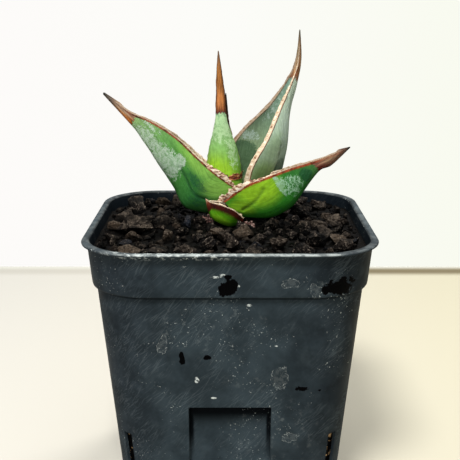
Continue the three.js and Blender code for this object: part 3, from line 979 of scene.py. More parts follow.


# How each leaf looks. "edge" is the width of its margins and "foot_edge" their
# width near the foot, both in mm. "outside", "inside", "spine" and "spine_edge"
# are colours along the leaf, and the dry spine begins at the share "spine_from"
# of its length. "line" is the width of the red-brown line under each margin's
# paper, and "inner_paper" how far the paper reaches into the channel, in mm.
# The paper turns brown after "aged_from", and the far margin of a leaf so marked
# is darkened with painted shade. Areas of wax, warm green, and dark green that
# also holds painted shadow, are (share of length, share of the way to a margin,
# reach of both, strength), and one marked "inner" is only in the channel. Creases
# are (start, end, reach in mm), from one such place to another, and are darkened
# with painted shade as strongly as the look's crease value says.
PLAIN_LOOK = {
    "line": 0.3,
    "line_tones": ("3c140c", "7c3c24"),
    "inner_paper": 0.5,
    "aged_from": 0.4,
    "far_margin_shaded": False,
    "bloom": "94b282",
    "wax_areas": [],
    "warm_areas": [],
    "dark_areas": [],
    "crease_shade": 0.0,
    "creases": [],
}
LEAF_LOOKS = {
    "leaf_inner": {
        **PLAIN_LOOK,
        "edge": 0.7,
        "foot_edge": 0.7,
        "spine_from": 0.6,
        "outside": [(0.0, "4c7a34"), (0.6, "6d8a5c")],
        "inside": [(0.0, "4c7a34"), (0.6, "6d8a5c")],
        "warm": "86ab45",
        "spine": [(0.0, "3a1c12"), (0.5, "3a2418"), (1.0, "1c1816")],
        "spine_edge": [(0.0, "2c1610"), (1.0, "1c1816")],
    },
    "leaf_centre": {
        **PLAIN_LOOK,
        "edge": 0.9,
        "foot_edge": 0.9,
        "spine_from": 0.585,
        "outside": [(0.0, "6f9c28"), (0.25, "74a83a"), (0.36, "7fae5e"), (0.55, "84ac80")],
        "inside": [(0.0, "4c7a34"), (0.6, "6d8a5c")],
        "warm": "8cb82a",
        "bloom": "a9c896",
        "spine": [(0.0, "4c2030"), (0.08, "7a4428"), (0.2, "a5683a"), (0.6, "95602e"), (1.0, "5c4636")],
        "spine_edge": [(0.0, "3c1a20"), (0.15, "6b3c20"), (0.6, "5a3a22"), (1.0, "3c3028")],
        "wax_areas": [(0.5, 0.1, 0.13, 1.6, 0.75), (0.36, 0.5, 0.14, 0.35, 0.6)],
        "warm_areas": [(0.22, -0.35, 0.12, 1.0, 1.0)],
        "dark_areas": [(0.56, 0.5, 0.03, 0.5, 0.5)],
    },
    "leaf_back_right": {
        **PLAIN_LOOK,
        "edge": 1.6,
        "foot_edge": 2.3,
        "line": 0.4,
        "inner_paper": 0.2,
        "aged_from": 0.6,
        "far_margin_shaded": True,
        "spine_from": 0.65,
        "outside": [(0.0, "6c8a5c"), (0.25, "a6bea4"), (0.5, "b8ccb6"), (0.75, "b4c4b2")],
        "inside": [(0.0, "65774a"), (0.25, "7f9069"), (0.5, "7f9a82"), (0.75, "78938a")],
        "warm": "6f8d50",
        "bloom": "a9bcae",
        "spine": [(0.0, "7c4c34"), (0.2, "9c7c58"), (0.7, "77694f"), (1.0, "4a463a")],
        "spine_edge": [(0.0, "7c4c34"), (0.3, "8c6040"), (0.8, "6c5c44"), (1.0, "4a463a")],
        "wax_areas": [
            (0.45, -0.45, 0.2, 0.35, 0.55),
            (0.34, 0.8, 0.03, 0.3, 0.7),
            (0.5, 0.7, 0.1, 0.3, 0.4),
        ],
        "warm_areas": [(0.16, -0.7, 0.1, 0.4, 0.9), (0.3, -0.75, 0.1, 0.3, 0.45)],
        "dark_areas": [(0.22, 0.76, 0.1, 0.42, 1.6, "inner"), (0.2, -0.35, 0.1, 0.25, 0.7)],
        "crease_shade": 0.6,
        "creases": [((0.32, -0.57), (0.2, -0.46), 0.5), ((0.4, -0.2), (0.22, -0.3), 0.4)],
    },
    "leaf_left": {
        **PLAIN_LOOK,
        "edge": 1.2,
        "foot_edge": 1.7,
        "line": 0.6,
        "line_tones": ("34100a", "84402a"),
        "inner_paper": 3.0,
        "aged_from": 0.25,
        "spine_from": 0.782,
        "outside": [(0.0, "345f22"), (0.2, "347234"), (0.42, "468336"), (0.75, "7a9c62")],
        "inside": [(0.0, "6f7c50"), (0.75, "8d8a6c")],
        "warm": "7cab48",
        "bloom": "a3b7a0",
        "spine": [
            (0.0, "64200e"),
            (0.12, "b0662a"),
            (0.5, "95643a"),
            (0.75, "5c4a3a"),
            (1.0, "26241f"),
        ],
        "spine_edge": [(0.0, "8c6a50"), (0.5, "94806a"), (0.8, "5c564c"), (1.0, "2a2824")],
        "wax_areas": [
            (0.62, 0.25, 0.15, 0.42, 0.8),
            (0.46, 0.3, 0.13, 0.42, 0.9),
            (0.4, 0.55, 0.045, 0.26, 1.4),
            (0.66, 0.8, 0.1, 0.15, 0.5),
        ],
        "warm_areas": [(0.3, 0.95, 0.2, 0.26, 0.9), (0.12, 0.8, 0.12, 0.3, 0.9)],
        "dark_areas": [(0.24, 0.62, 0.13, 0.14, 0.6), (0.14, 0.35, 0.1, 0.2, 0.5)],
        "crease_shade": 0.75,
        "creases": [((0.37, 0.54), (0.13, 0.46), 0.9)],
    },
    "leaf_right": {
        **PLAIN_LOOK,
        "edge": 1.3,
        "foot_edge": 2.4,
        "line": 0.8,
        "line_tones": ("4c140a", "a04a2c"),
        "inner_paper": 3.0,
        "aged_from": 0.25,
        "spine_from": 0.66,
        "outside": [(0.0, "2f7a1c"), (0.3, "2f7a22"), (0.5, "2d6a2a"), (0.66, "3f6f38")],
        "inside": [(0.0, "8d7c5c"), (0.75, "a08a74")],
        "warm": "86b424",
        "bloom": "93ba98",
        "spine": [(0.0, "561812"), (0.25, "5a2a20"), (0.6, "5c4030"), (1.0, "1c1a18")],
        "spine_edge": [(0.0, "8a5c4c"), (0.45, "94785c"), (0.8, "5a4a3c"), (1.0, "1c1a18")],
        "wax_areas": [
            (0.385, -0.64, 0.06, 0.26, 0.6),
            (0.35, -0.7, 0.02, 0.3, 1.5),
            (0.45, -0.5, 0.1, 0.36, 0.5),
        ],
        "warm_areas": [(0.22, -0.8, 0.17, 0.42, 1.1), (0.07, -0.6, 0.1, 0.3, 0.8)],
        "dark_areas": [(0.57, -0.5, 0.06, 0.4, 0.8), (0.3, -0.15, 0.2, 0.14, 0.35)],
        "crease_shade": 0.45,
        "creases": [((0.05, -0.46), (0.25, -0.78), 0.7)],
    },
    "scale_leaf": {
        **PLAIN_LOOK,
        "edge": 0.9,
        "foot_edge": 0.9,
        "line": 2.1,
        "line_tones": ("1a0402", "3a0f06"),
        "inner_paper": 0.3,
        "aged_from": 0.9,
        "spine_from": 0.66,
        "outside": [(0.0, "2c5a08"), (0.5, "4c8a10"), (0.9, "4a7a18")],
        "inside": [(0.0, "4a1c10"), (0.9, "5a2414")],
        "warm": "6f9f1c",
        "spine": [(0.0, "3a120a"), (0.5, "5a2416"), (0.85, "a88462"), (1.0, "c0a184")],
        "spine_edge": [(0.0, "3a120a"), (0.5, "6a3420"), (0.85, "a88462"), (1.0, "c0a184")],
        "warm_areas": [(0.4, 0.3, 0.2, 0.3, 0.8)],
    },
}


def areas_share(facts, areas):
    """The strength of each area in its middle, falling to 0 at its outline.

    An area marked "inner" is only on the side of the leaf's channel."""
    t, s, inside = facts[:, 0], facts[:, 3], facts[:, 5]
    found = np.zeros(len(t))
    for area in areas:
        away = np.hypot((t - area[0]) / area[2], (s - area[1]) / area[3])
        strength = area[4] * (1 - smoothstep(away, 0.35, 1.25))
        if area[-1] == "inner":
            strength = strength * inside
        found = np.maximum(found, strength)
    return found


def crease_share(facts, start, end, reach):
    """1 along a line between two places of a leaf, given as shares, and 0 beside it."""
    t, along, across, s, _, inside = facts.T
    here = np.column_stack([along, across])

    def spot(place):
        return here[np.argmin(np.hypot(t - place[0], (s - place[1]) * 0.5) + inside * 9)]

    a, b = spot(start), spot(end)
    share = np.clip((here - a) @ (b - a) / ((b - a) @ (b - a)), 0, 1)
    away = np.linalg.norm(here - a - share[:, None] * (b - a), axis=1)
    return (1 - smoothstep(away, 0, reach)) * (inside < 0.5)


def leaf_marks(facts, look):
    """Shares of wax, warm green, and dark green that also holds painted shadow, and of the creases,
    which carry painted shade.
    """
    crease = np.zeros(len(facts))
    for start, end, reach in look["creases"]:
        crease = np.maximum(crease, crease_share(facts, start, end, reach))
    shares = [areas_share(facts, look[kind + "_areas"]) for kind in ("wax", "warm", "dark")]
    return np.column_stack(shares), crease


def roughen_leaf(piece, facts, crease, seed):
    """Ripples the papery margins and grooves the skin and the spine."""
    t, along, across, s, edge, inside = facts.T
    points = points_of(piece.data)
    normals = normals_of(piece.data)
    near_edge = np.exp(-np.maximum(edge, 0) / 0.7)
    # Both margins, and both sides of the skin, lie far apart in the noise
    line = np.column_stack([along, np.sign(s) * 20, np.zeros(len(t))])
    ripple = noise_at(line, 0.3, seed) * 0.25 + noise_at(line, 1.1, seed + 1) * 0.16
    skin = np.column_stack([along * 0.12, across, inside * 30])
    grooves = noise_at(skin, 0.9, seed + 2) * 0.08
    wavy = noise_at(np.column_stack([along, across, inside * 30]), 0.2, seed + 3) * 0.14
    body = 1 - near_edge
    amount = ripple * near_edge + (grooves + wavy) * body - crease * 0.3
    taper = 1 - smoothstep(t, 0.6, 1.0) * 0.85
    points += normals * (amount * taper)[:, None]
    put_points(piece.data, points)


def ragged_share(paint, share, coarse, fine, roughness):
    """An area with a ragged outline, from a share that fades out smoothly."""
    uneven = paint.plus(paint.times(coarse, 0.6), paint.times(fine, 0.4))
    uneven = paint.times(paint.minus(uneven, 0.5), roughness * 3, paint.step(share, 0.02, 0.2))
    return paint.step(paint.plus(share, uneven), 0.3, 0.62)


def spine_wood(paint, spine_t, side, grain, look):
    """The colour of a leaf's dry end, by the share of the spine's length."""
    beside = paint.step(paint.magnitude(side), 0.35, 0.75)
    middle = paint.ramp(spine_t, look["spine"])
    wood = paint.mix(beside, middle, paint.ramp(spine_t, look["spine_edge"]))
    return paint.shade(wood, paint.step(grain, 0.36, 0.64, 1.35, 0.6))


def margin_tone(paint, place, t, side, look):
    """The colour of the papery margins, browner with age toward the tip, and darkened with painted
    shade on the far margin of some leaves.
    """
    fibres = paint.noise(paint.turned(place, scale=(0.35, 1.5, 1)), 1.4, 5, 0.7)
    tones = [(0.34, "6c4a34"), (0.42, "a88a6c"), (0.52, "d0bea0"), (0.64, "f0e8d8")]
    aged_and_shaded = paint.step(t, look["aged_from"], look["aged_from"] + 0.3, 0, 0.6)
    # Painted shade on the far margin of a leaf so marked
    if look["far_margin_shaded"]:
        aged_and_shaded = paint.most(aged_and_shaded, paint.step(side, 0, 0.3, 0, 0.7))
    return paint.mix(aged_and_shaded, paint.ramp(fibres, tones), "5e4a38")


def leaf_paint(name, look):
    """Green skin with wax on it, papery margins and a dry spine, for one leaf."""
    paint = Paint(name)
    place = paint.attribute("leaf_place")
    inside = paint.split(place)[2]
    t, side, edge = paint.split(paint.attribute("leaf_share"))
    wax, warm, dark = paint.split(paint.attribute("leaf_marks"))
    crease = paint.split(paint.attribute("leaf_crease"))[0]
    streaks = paint.noise(paint.turned(place, scale=(0.07, 1, 1)), 1.6, 4, 0.6)
    mottle = paint.noise(place, 0.8, 5, 0.62)
    fine = paint.noise(place, 3.2, 4, 0.65)
    outer, inner = paint.ramp(t, look["outside"]), paint.ramp(t, look["inside"])
    colour = paint.mix(paint.step(inside, 0.008 * CHANNEL, 0.012 * CHANNEL), outer, inner)
    warm = paint.least(paint.times(warm, paint.step(streaks, 0.2, 0.55, 0.7, 1)), 1.0)
    colour = paint.mix(warm, colour, look["warm"])
    # Dark green areas, partly painted shadow, and creases darkened with painted shade
    dark = ragged_share(paint, dark, mottle, fine, 0.7)
    colour = paint.mix(paint.times(dark, 0.7), colour, "12402a")
    colour = paint.mix(paint.times(crease, look["crease_shade"]), colour, "082a1c")
    uneven = paint.plus(paint.times(streaks, 0.5), paint.times(mottle, 0.5))
    colour = paint.shade(colour, paint.step(uneven, 0.38, 0.62, 0.82, 1.14))
    # Wax lies on the skin in rubbed patches
    wax = ragged_share(paint, wax, mottle, fine, 1.3)
    blotches = paint.plus(paint.times(mottle, 0.6), paint.times(fine, 0.4))
    bloom = paint.times(wax, paint.step(blotches, 0.42, 0.57, 0.42, 1))
    dust = paint.times(paint.step(fine, 0.55, 0.75, 0, 0.35), paint.step(mottle, 0.4, 0.62))
    bloom = paint.most(bloom, dust)
    colour = paint.mix(bloom, colour, look["bloom"])
    # The spine is dry and woody, dark red-brown where it leaves the green
    spine_from = look["spine_from"]
    toothed = paint.noise(paint.turned(place, scale=(0.25, 1.6, 1)), 1.3, 3, 0.7)
    wobbly = paint.plus(t, paint.times(paint.minus(toothed, 0.5), 0.09))
    spine = paint.step(wobbly, spine_from - 0.006, spine_from + 0.008)
    spine_t = paint.maths("DIVIDE", paint.minus(wobbly, spine_from), 1 - spine_from)
    grain = paint.noise(paint.turned(place, scale=(0.12, 1.2, 1)), 1.6, 4, 0.6)
    colour = paint.mix(spine, colour, spine_wood(paint, spine_t, side, grain, look))
    # A papery margin with a red-brown line under it
    ragged = paint.times(paint.minus(fine, 0.5), 0.5 + look["line"] * 0.5)
    rim = paint.plus(edge, ragged)
    line = paint.times(
        paint.step(rim, look["line"] * 0.7, look["line"] * 1.4, 1, 0),
        paint.step(inside, 0.4 * CHANNEL, 0.6 * CHANNEL, 1, 0.6),
        paint.step(t, spine_from, spine_from + 0.12, 1, 0.3),
    )
    knots = paint.step(paint.noise(place, 0.35, 3, 0.6), 0.3, 0.62)
    line_tone = paint.mix(knots, *look["line_tones"])
    colour = paint.mix(paint.times(line, paint.step(t, 0.9, 1, 1, 0)), colour, line_tone)
    in_channel = paint.step(inside, 0.6 * CHANNEL, 0.9 * CHANNEL)
    paper_edge = paint.times(in_channel, look["inner_paper"])
    paper = paint.step(paint.minus(rim, paper_edge), -0.02, 0.22, 1, 0)
    paper = paint.times(paper, paint.step(t, 0.86, 0.96, 1, 0))
    paint.set("Base Color", paint.mix(paper, colour, margin_tone(paint, place, t, side, look)))
    dry = paint.most(spine, line, bloom)
    paint.set("Specular IOR Level", 0.1)
    paint.set("Roughness", paint.step(dry, 0, 1, 0.36, 0.68))
    relief = paint.plus(paint.times(streaks, 0.5), paint.times(fine, 0.5))
    paint.bump(paint.plus(relief, paint.times(grain, dry, 1.6)), 0.06)
    return paint


def make_leaves():
    """Each leaf, cut away where it meets the leaves inside it."""
    names = list(LEAVES)
    leaves = {}
    for index, name in enumerate(names):
        leaf, look = LEAVES[name], LEAF_LOOKS[name]
        piece, facts = leaf_mesh(name + "_blade", leaf, look)
        marks, crease = leaf_marks(facts, look)
        roughen_leaf(piece, facts, crease, seed=index * 5 + 1)
        whole = points_of(piece.data)
        inner = [(LEAVES[other], LEAF_LOOKS[other]) for other in names[:index]]
        cutters = [leaf_mesh("cutter", *other, grow=CLEARANCE)[0] for other in inner]
        if cutters:
            carve(piece, cutters)
        tree = tree_of(whole)
        nearest = [tree.find(point)[1] for point in points_of(piece.data)]
        t, along, across, s, edge, inside = facts[nearest].T
        put_attribute(piece.data, "leaf_place", np.column_stack([along, across, inside * CHANNEL]))
        put_attribute(piece.data, "leaf_share", np.column_stack([t, s, edge]))
        put_attribute(piece.data, "leaf_marks", marks[nearest])
        put_attribute(piece.data, "leaf_crease", np.column_stack([crease[nearest]] * 3))
        tidy_normals(piece, 50)
        leaves[name] = finish_piece(piece, leaf_paint(name, look), [name])
    return leaves


# ---------------------------------------------------------------------------
# Torn paper: shreds of leaf margins and the remains of old sheaths

# Tones of each paper, from between its fibres to the brightest of them
CREAM_PAPER = ("4a2014", "94684c", "ccb496", "e8dac4")
SHEATH_PAPER = ("1c0a06", "43211a", "6e4c42", "b89c90")
RUST_PAPER = ("2a0c06", "6a2410", "9c4c1c", "d0a070")
STRIP_STEP = 0.3
FRINGE_STEP = 0.25
STRIP_LEVELS = 7
FLAKES_PER_SHEATH = 4
PAPER_THICKNESS = 0.22
PAPER_SEED = 5


def evenly(line, step):
    """The same line with points about a step apart."""
    lengths = lengths_along(line)
    places = np.linspace(0, lengths[-1], max(int(lengths[-1] / step), 3))
    return np.column_stack([np.interp(places, lengths, line[:, k]) for k in range(3)])


def torn_strip(base, outward, height, random_source, tooth, curl):
    """A thin strip that stands on a line, curls outward and ends in ragged teeth.

    base is the line, outward and height are for each of its points: the way the
    strip faces, and the way and how far it stands up."""
    count = len(base)
    reach, target = [], random_source.uniform(1 - tooth, 1)
    for k in range(count):
        if random_source.random() < 0.3:
            target = random_source.uniform(1 - tooth, 1)
        reach.append(target * random_source.uniform(0.88, 1))
    shift = random_source.uniform(0, 90)
    rings = []
    for k in range(count):
        front, back = [], []
        for level in range(STRIP_LEVELS):
            share = level / (STRIP_LEVELS - 1) * reach[k]
            spot = base[k] + height[k] * share
            crumple = noise.noise(Vector(spot) * 0.9 + Vector((shift, 0, 0))) * 0.5 * share
            away = outward[k] * (curl * share**2 + crumple)
            thin = outward[k] * PAPER_THICKNESS * (1 - 0.6 * share)
            front.append(spot + away + thin)
            back.append(spot + away)
        rings.append(front + back[::-1])
    return capped_tube(rings)


def join_strips(name, strips):
    """One object of all the strips."""
    points, faces, start = [], [], 0
    for strip_points, strip_faces in strips:
        points.append(strip_points)
        faces += [tuple(start + k for k in face) for face in strip_faces]
        start += len(strip_points)
    piece = new_object(name, np.vstack(points), faces)
    tidy_normals(piece, 40)
    return piece


def paper_paint(name, tones):
    """Dry, fibrous paper."""
    paint = Paint(name)
    place = paint.place()
    fibres = paint.noise(paint.turned(place, (0, 0.6, 0), (0.3, 1, 1)), 1300, 5, 0.7)
    paint.set("Base Color", paint.ramp(fibres, list(zip((0.4, 0.46, 0.52, 0.6), tones))))
    paint.set("Roughness", 0.8)
    paint.bump(fibres, 0.12)
    return paint


def margin_line(name, start, end, side):
    """A leaf's margin and its keel between two shares of its length, each as a
    line with even steps."""
    leaf, look = LEAVES[name], LEAF_LOOKS[name]
    sections, _ = leaf_rings(leaf, look)
    place = 0 if side > 0 else BACK_STEPS
    first, last = int(start * (len(sections) - 1)), int(end * (len(sections) - 1))
    line = np.array([section[place] for section in sections[first : last + 1]])
    keel = np.array([section[BACK_STEPS // 2] for section in sections[first : last + 1]])
    return [evenly(leaf_to_frame(leaf, points), STRIP_STEP) for points in (line, keel)]


def margin_shreds(name, start, end, side, height, random_source, tail=0.0):
    """Torn paper along a margin, with a tail that hangs on past the leaf's foot."""
    line, keel = margin_line(name, start, end, side)
    if tail:
        steps = np.arange(int(tail / STRIP_STEP), 0, -1)[:, None] * STRIP_STEP
        forward = unit(line[6:7] - line[:1])
        line = np.vstack([line[0] - forward * steps, line])
        keel = np.vstack([keel[0] - forward * steps, keel])
    keel = np.array([keel[int(k * (len(keel) - 1) / (len(line) - 1))] for k in range(len(line))])
    up = unit(line - keel)
    along = np.gradient(line, axis=0)
    outward = unit(np.cross(along, up))
    outward *= -np.sign(outward[:, 1:2])
    swell = np.sin(np.linspace(0.15, 0.95, len(line)) * math.pi)[:, None]
    base = line - up * 0.5 - outward * 0.12
    return torn_strip(base, outward, up * (0.5 + height * swell), random_source, 0.28, -0.9)


def centre_fringe(random_source):
    """The torn, rust-brown end of a sheath round the front of the centre leaf."""
    leaf, look = LEAVES["leaf_centre"], LEAF_LOOKS["leaf_centre"]
    sections, _ = leaf_rings(leaf, look)
    section = sections[int(0.2 * (len(sections) - 1))]
    part = section[int(BACK_STEPS * 0.08) : int(BACK_STEPS * 0.68)]
    middle = section[: BACK_STEPS + 1].mean(0)
    line = evenly(leaf_to_frame(leaf, part), FRINGE_STEP)
    centre = leaf_to_frame(leaf, middle[None, :])[0]
    outward = unit((line - centre) * (1, 1, 0))
    height = np.tile((0.0, 0.0, 2.6), (len(line), 1)) + outward * 0.1
    return torn_strip(line - (0, 0, 0.9) + outward * 0.1, outward, height, random_source, 0.65, 0.5)


def sheath_flakes(node, random_source):
    """Curled flakes inside the box of one dry sheath of the CAD model."""
    low, high = (np.array(corner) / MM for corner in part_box(node))
    middle, size = (low + high) / 2, high - low
    strips = []
    for _ in range(FLAKES_PER_SHEATH):
        turn = random_source.uniform(-0.5, 0.5)
        half = size[0] * random_source.uniform(0.28, 0.5)
        across = np.array((math.cos(turn), math.sin(turn), 0))
        outward = np.array((math.sin(turn), -math.cos(turn), 0.15))
        places = np.linspace(-half, half, 16)[:, None]
        shift = (random_source.uniform(-0.8, 0.8), random_source.uniform(-0.5, 0.7), 0)
        start = np.array((middle[0], middle[1], low[2] + 0.1)) + shift
        bow = outward * (places / half) ** 2 * random_source.uniform(-0.9, 0.9)
        base = start + across * places + bow
        rise = size[2] * random_source.uniform(0.55, 1.0)
        lean = np.array((random_source.uniform(-0.3, 0.3), 0.2, 1.0)) * rise
        height = np.tile(lean, (len(base), 1))
        facing = np.tile(outward, (len(base), 1))
        curl = random_source.uniform(0.4, 1.3)
        strips.append(torn_strip(base, facing, height, random_source, 0.5, curl))
    return join_strips(node + "_flakes", strips)


def make_torn_paper():
    random_source = random.Random(PAPER_SEED)
    shreds = [
        margin_shreds("leaf_right", 0.02, 0.24, -1, 1.9, random_source, tail=5.0),
        margin_shreds("leaf_right", 0.24, 0.44, -1, 0.25, random_source),
        margin_shreds("leaf_left", 0.05, 0.28, 1, 1.7, random_source),
    ]
    piece = join_strips("margin_shreds", shreds)
    finish_piece(piece, paper_paint("margin_paper", CREAM_PAPER))
    piece = join_strips("centre_fringe", [centre_fringe(random_source)])
    finish_piece(piece, paper_paint("rust_paper", RUST_PAPER))
    flakes = paper_paint("sheath_paper", SHEATH_PAPER)
    for node in ("dry_sheath_right", "dry_sheath_left"):
        finish_piece(sheath_flakes(node, random_source), flakes, [node])


# ---------------------------------------------------------------------------
# Potting mix and chips

SOIL_SEED = 11
SURFACE_RINGS = 70
ROCK_CORNERS = 13
TRIES_PER_ROCK = 60
# A rock's middle is above the mix by this share of its radius, and its side
# stays this far from the leaves
ROCK_LIFT = 0.3
LEAF_GAP = 0.3


def soil_height(x, y):
    """Height of the uneven top of the mix."""
    spot = Vector((x, y, 0))
    rough = noise.noise(spot * 0.11) * 0.9 + noise.noise(spot * 0.35 + Vector((9, 9, 9))) * 0.6
    return SOIL_TOP + 0.5 + rough * 0.6


def make_soil_surface():
    """The top of the mix, rough and closed underneath, as wide as the pot's cavity."""
    cavity = wall_width(SOIL_TOP) + 2 * COLLAR_STEP - 2 * WALL - 0.1
    outline = pot_ring(cavity, 0, 1, -5, cavity)
    rings = []
    for ring in range(SURFACE_RINGS):
        share = 0.02 + 0.98 * ring / (SURFACE_RINGS - 1)
        points = []
        for spot in outline:
            x, y = spot.x * share, spot.y * share
            fine = noise.noise(Vector((x, y, 3)) * 1.1) * 0.35
            points.append((x, y, max(soil_height(x, y) + fine, SOIL_TOP + 0.05)))
        rings.append(points)
    rings.append([(spot.x, spot.y, SOIL_TOP - 0.3) for spot in outline])
    piece = new_object("soil_surface", *capped_tube(rings))
    tidy_normals(piece, 60)
    return piece


def random_direction(random_source):
    return Vector([random_source.gauss(0, 1) for _ in range(3)]).normalized()


def rock_shape(random_source, subdivisions, flatness):
    """An angular, roughened chip about 1 mm in radius, as points and triangles."""
    working = bmesh.new()
    for _ in range(ROCK_CORNERS):
        direction = random_direction(random_source)
        reach = random_source.uniform(0.75, 1.05)
        x, y, z = (part * reach for part in direction)
        working.verts.new((x, y * 0.85, z * flatness))
    bmesh.ops.convex_hull(working, input=working.verts)
    loose = [v for v in working.verts if not v.link_faces]
    bmesh.ops.delete(working, geom=loose, context="VERTS")
    bmesh.ops.triangulate(working, faces=working.faces)
    for _ in range(subdivisions):
        bmesh.ops.subdivide_edges(working, edges=working.edges, cuts=1, use_grid_fill=True)
        bmesh.ops.triangulate(working, faces=working.faces)
    shift = Vector([random_source.uniform(0, 50) for _ in range(3)])
    for vertex in working.verts:
        rough = noise.noise(vertex.co * 1.7 + shift) * 0.1
        rough += noise.noise(vertex.co * 6.5 + shift) * 0.09
        vertex.co += vertex.co.normalized() * rough
    points, faces = take_shape(working)
    return points, np.array(faces)


def random_turn(random_source):
    """Any turn about the upright, with a small lean."""
    axis = random_direction(random_source)
    tilt = Matrix.Rotation(random_source.uniform(0, 0.7), 3, axis)
    return np.array(tilt @ Matrix.Rotation(random_source.uniform(0, ROUND), 3, "Z"))


def scatter(random_source, count, small, large, shapes, taken, leaf_tree, crowding):
    """Rocks lying on the mix, clear of the leaves and not too deep in one another."""
    inner = COLLAR_WIDTH / 2 - WALL - 0.7
    corner = CORNER_RADIUS - WALL
    made = []
    for _ in range(count * TRIES_PER_ROCK):
        if len(made) == count:
            break
        radius = random_source.uniform(small, large)
        x = random_source.uniform(-inner, inner)
        y = random_source.uniform(-inner, inner)
        past_x = max(abs(x) + radius - (inner - corner), 0)
        past_y = max(abs(y) + radius - (inner - corner), 0)
        if math.hypot(past_x, past_y) > corner or max(abs(x), abs(y)) + radius > inner:
            continue
        z = soil_height(x, y) + radius * ROCK_LIFT
        if leaf_tree.find((x, y, z))[2] < radius * 1.05 + LEAF_GAP:
            continue
        if any(math.hypot(x - a, y - b) < (radius + r) * crowding for a, b, r in taken):
            continue
        taken.append((x, y, radius))
        made.append((x, y, z, radius, random_source.choice(shapes), random_turn(random_source)))
    return made


def join_rocks(name, made, random_source):
    """One object of all the rocks, each with a tone and a tint of its own."""
    points, faces, tones = [], [], []
    for x, y, z, radius, (shape, shape_faces), turn in made:
        faces.append(shape_faces + sum(len(p) for p in points))
        points.append(shape @ turn.T * radius + np.array((x, y, z)))
        tone = random_source.random(), random_source.random(), 0.0
        tones.append(np.tile(tone, (len(shape), 1)))
    piece = new_object(name, np.vstack(points), np.vstack(faces).tolist())
    put_attribute(piece.data, "chip_tone", np.vstack(tones))
    tidy_normals(piece, 28)
    return piece


def soil_paint(name, toned=False):
    """Damp crumbs of mix, or toned chips, each of which has its own brown."""
    paint = Paint(name)
    place = paint.place()
    height = paint.split(place)[2]
    mottle = paint.noise(place, 420, 5, 0.65)
    fine = paint.noise(place, 1600, 4, 0.7)
    colour = paint.ramp(mottle, [(0.38, "020202"), (0.5, "0a0908"), (0.62, "1e1916")])
    if toned:
        tone, tint, _ = paint.split(paint.attribute("chip_tone"))
        browns = [(0.0, "050505"), (0.4, "0e0c0b"), (0.8, "2c241d"), (1.0, "584a3c")]
        colour = paint.mix(0.42, colour, paint.ramp(tone, browns))
        colour = paint.mix(paint.step(tint, 0.93, 0.96, 0, 0.7), colour, "1e232b")
    crumbs = paint.times(paint.step(fine, 0.54, 0.66), paint.step(mottle, 0.45, 0.62))
    colour = paint.mix(paint.times(crumbs, 0.7), colour, "9a8c7c")
    # What faces up is paler: grey dust, and painted light from above
    upward = paint.split(paint.normal())[2]
    dust = paint.times(paint.step(upward, 0.45, 0.9), paint.step(mottle, 0.4, 0.58, 0.1, 0.7))
    if toned:
        dust = paint.times(dust, paint.step(tone, 0.1, 0.9, 0.35, 1.2))
    colour = paint.mix(dust, colour, "463e35")
    # Painted shade in the gaps and painted light on top: darker low down, paler high up, with fine dark
    # pits
    height_shading = paint.step_mm(height, SOIL_TOP + 0.7, SOIL_TOP + 3.4, 0.08, 1.4)
    pits = paint.step(fine, 0.4, 0.52, 0.35, 1.1)
    colour = paint.shade(colour, paint.times(height_shading, pits, 0.75))
    if not toned:
        grit = paint.times(paint.step(mottle, 0.56, 0.6), paint.step_mm(height, 50, 30))
        colour = paint.mix(grit, colour, "b8966c")
    paint.set("Base Color", colour)
    paint.set("Specular IOR Level", 0.04)
    paint.set("Roughness", paint.step(mottle, 0.3, 0.7, 0.55, 0.85))
    paint.bump(paint.plus(mottle, fine), 0.5)
    return paint


# The largest pieces of bark and lava: place, radius, flatness and tilt
LARGE_PIECES = [
    (-31.0, 22.0, 5.6, 0.5, 0.7),
    (-33.5, 11.0, 5.4, 0.28, 0.45),
    (-18.0, 30.0, 4.8, 0.4, 0.5),
    (-29.0, -7.0, 6.8, 0.5, 0.3),
    (-22.0, 7.0, 4.0, 0.35, 0.5),
    (-6.0, -26.0, 3.4, 0.9, 0.4),
    (0.5, -26.0, 3.0, 0.95, 0.5),
    (-20.0, -27.0, 4.6, 0.6, 0.3),
    (23.5, 16.0, 3.6, 0.75, 0.6),
    (14.0, -24.0, 3.8, 0.8, 0.4),
    (-28.0, -34.0, 4.4, 0.6, 0.4),
    (-12.0, -34.0, 4.6, 0.6, 0.5),
    (6.0, -35.0, 4.2, 0.7, 0.4),
    (20.0, -34.0, 4.6, 0.6, 0.5),
    (33.0, -27.0, 4.0, 0.6, 0.4),
    (28.0, -12.0, 4.0, 0.6, 0.4),
    (33.0, 4.0, 4.2, 0.5, 0.4),
    (30.0, 26.0, 3.6, 0.5, 0.5),
]


def large_pieces(random_source, taken):
    """Rocks in the places of LARGE_PIECES."""
    made = []
    for x, y, radius, flatness, tilt in LARGE_PIECES:
        spin = Matrix.Rotation(random_source.uniform(0, ROUND), 3, "Z")
        turn = Matrix.Rotation(tilt, 3, "X") @ spin
        shape = rock_shape(random_source, 3, flatness)
        height = soil_height(x, y) + radius * flatness * 0.55
        made.append((x, y, height, radius, shape, np.array(turn)))
        taken.append((x, y, radius))
    return made


def some_shapes(random_source, count, subdivisions, flattest, roundest):
    """Rock shapes that are between the flattest and the roundest."""
    shapes = []
    for _ in range(count):
        flatness = random_source.uniform(flattest, roundest)
        shapes.append(rock_shape(random_source, subdivisions, flatness))
    return shapes


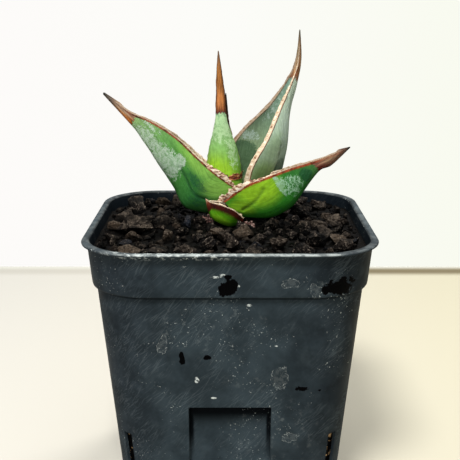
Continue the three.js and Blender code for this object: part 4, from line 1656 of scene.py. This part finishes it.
def chips_of_model(random_source, names, shapes, taken):
    """Rocks in the places of the CAD model's chips."""
    chips = []
    for index, name in enumerate(names):
        low, high = (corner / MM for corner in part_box(name))
        middle, size = (low + high) / 2, high - low
        radius = max(size.x, size.y) / 2
        taken.append((middle.x, middle.y, radius))
        shape = shapes[index % len(shapes)]
        turn = random_turn(random_source)
        chips.append((middle.x, middle.y, middle.z + 0.3, radius * 1.02, shape, turn))
    return chips


def lay_rocks(name, made, random_source, replaced=()):
    piece = join_rocks(name, made, random_source)
    finish_piece(piece, soil_paint(name, toned=True), replaced)


def make_soil(leaves):
    random_source = random.Random(SOIL_SEED)
    finish_piece(make_soil_surface(), soil_paint("soil_surface"))
    paint_node(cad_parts["potting_mix"], soil_paint("potting_mix"))
    leaf_tree = tree_of(np.vstack([points_of(leaf.data)[::3] for leaf in leaves.values()]))
    coarse = some_shapes(random_source, 12, 3, 0.45, 0.8)
    medium = some_shapes(random_source, 12, 2, 0.5, 0.85)
    small = some_shapes(random_source, 10, 1, 0.6, 0.9)
    chip_names = [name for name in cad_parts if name.startswith("chip_")]
    taken = []
    chips = chips_of_model(random_source, sorted(chip_names), coarse, taken)
    lay_rocks("large_chips", chips, random_source, chip_names)
    made = large_pieces(random_source, taken)
    made += scatter(random_source, 34, 3.3, 4.4, coarse, taken, leaf_tree, 0.72)
    made += scatter(random_source, 90, 1.7, 2.8, coarse, taken, leaf_tree, 0.7)
    lay_rocks("loose_chips", made, random_source)
    made = scatter(random_source, 260, 0.7, 1.5, medium, taken, leaf_tree, 0.7)
    lay_rocks("gravel", made, random_source)
    made = scatter(random_source, 500, 0.25, 0.5, small, taken, leaf_tree, 0.6)
    lay_rocks("crumbs", made, random_source)


def root_paint():
    """Pale brown wood of the stem and the roots, which are inside the mix."""
    paint = Paint("stem_and_roots")
    grain = paint.noise(paint.turned(paint.place(), scale=(1, 1, 0.2)), 900, 4)
    paint.set("Base Color", paint.ramp(grain, [(0.3, "7a5a36"), (0.7, "c9b183")]))
    paint.set("Roughness", 0.8)
    paint.bump(grain, 0.1)
    return paint


# ---------------------------------------------------------------------------
# The whole plant

make_pot()
leaves = make_leaves()
make_torn_paper()
make_soil(leaves)

woody_paint = root_paint()
for node_name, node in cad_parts.items():
    if node_name.startswith(("root_", "stem")):
        paint_node(node, woody_paint)
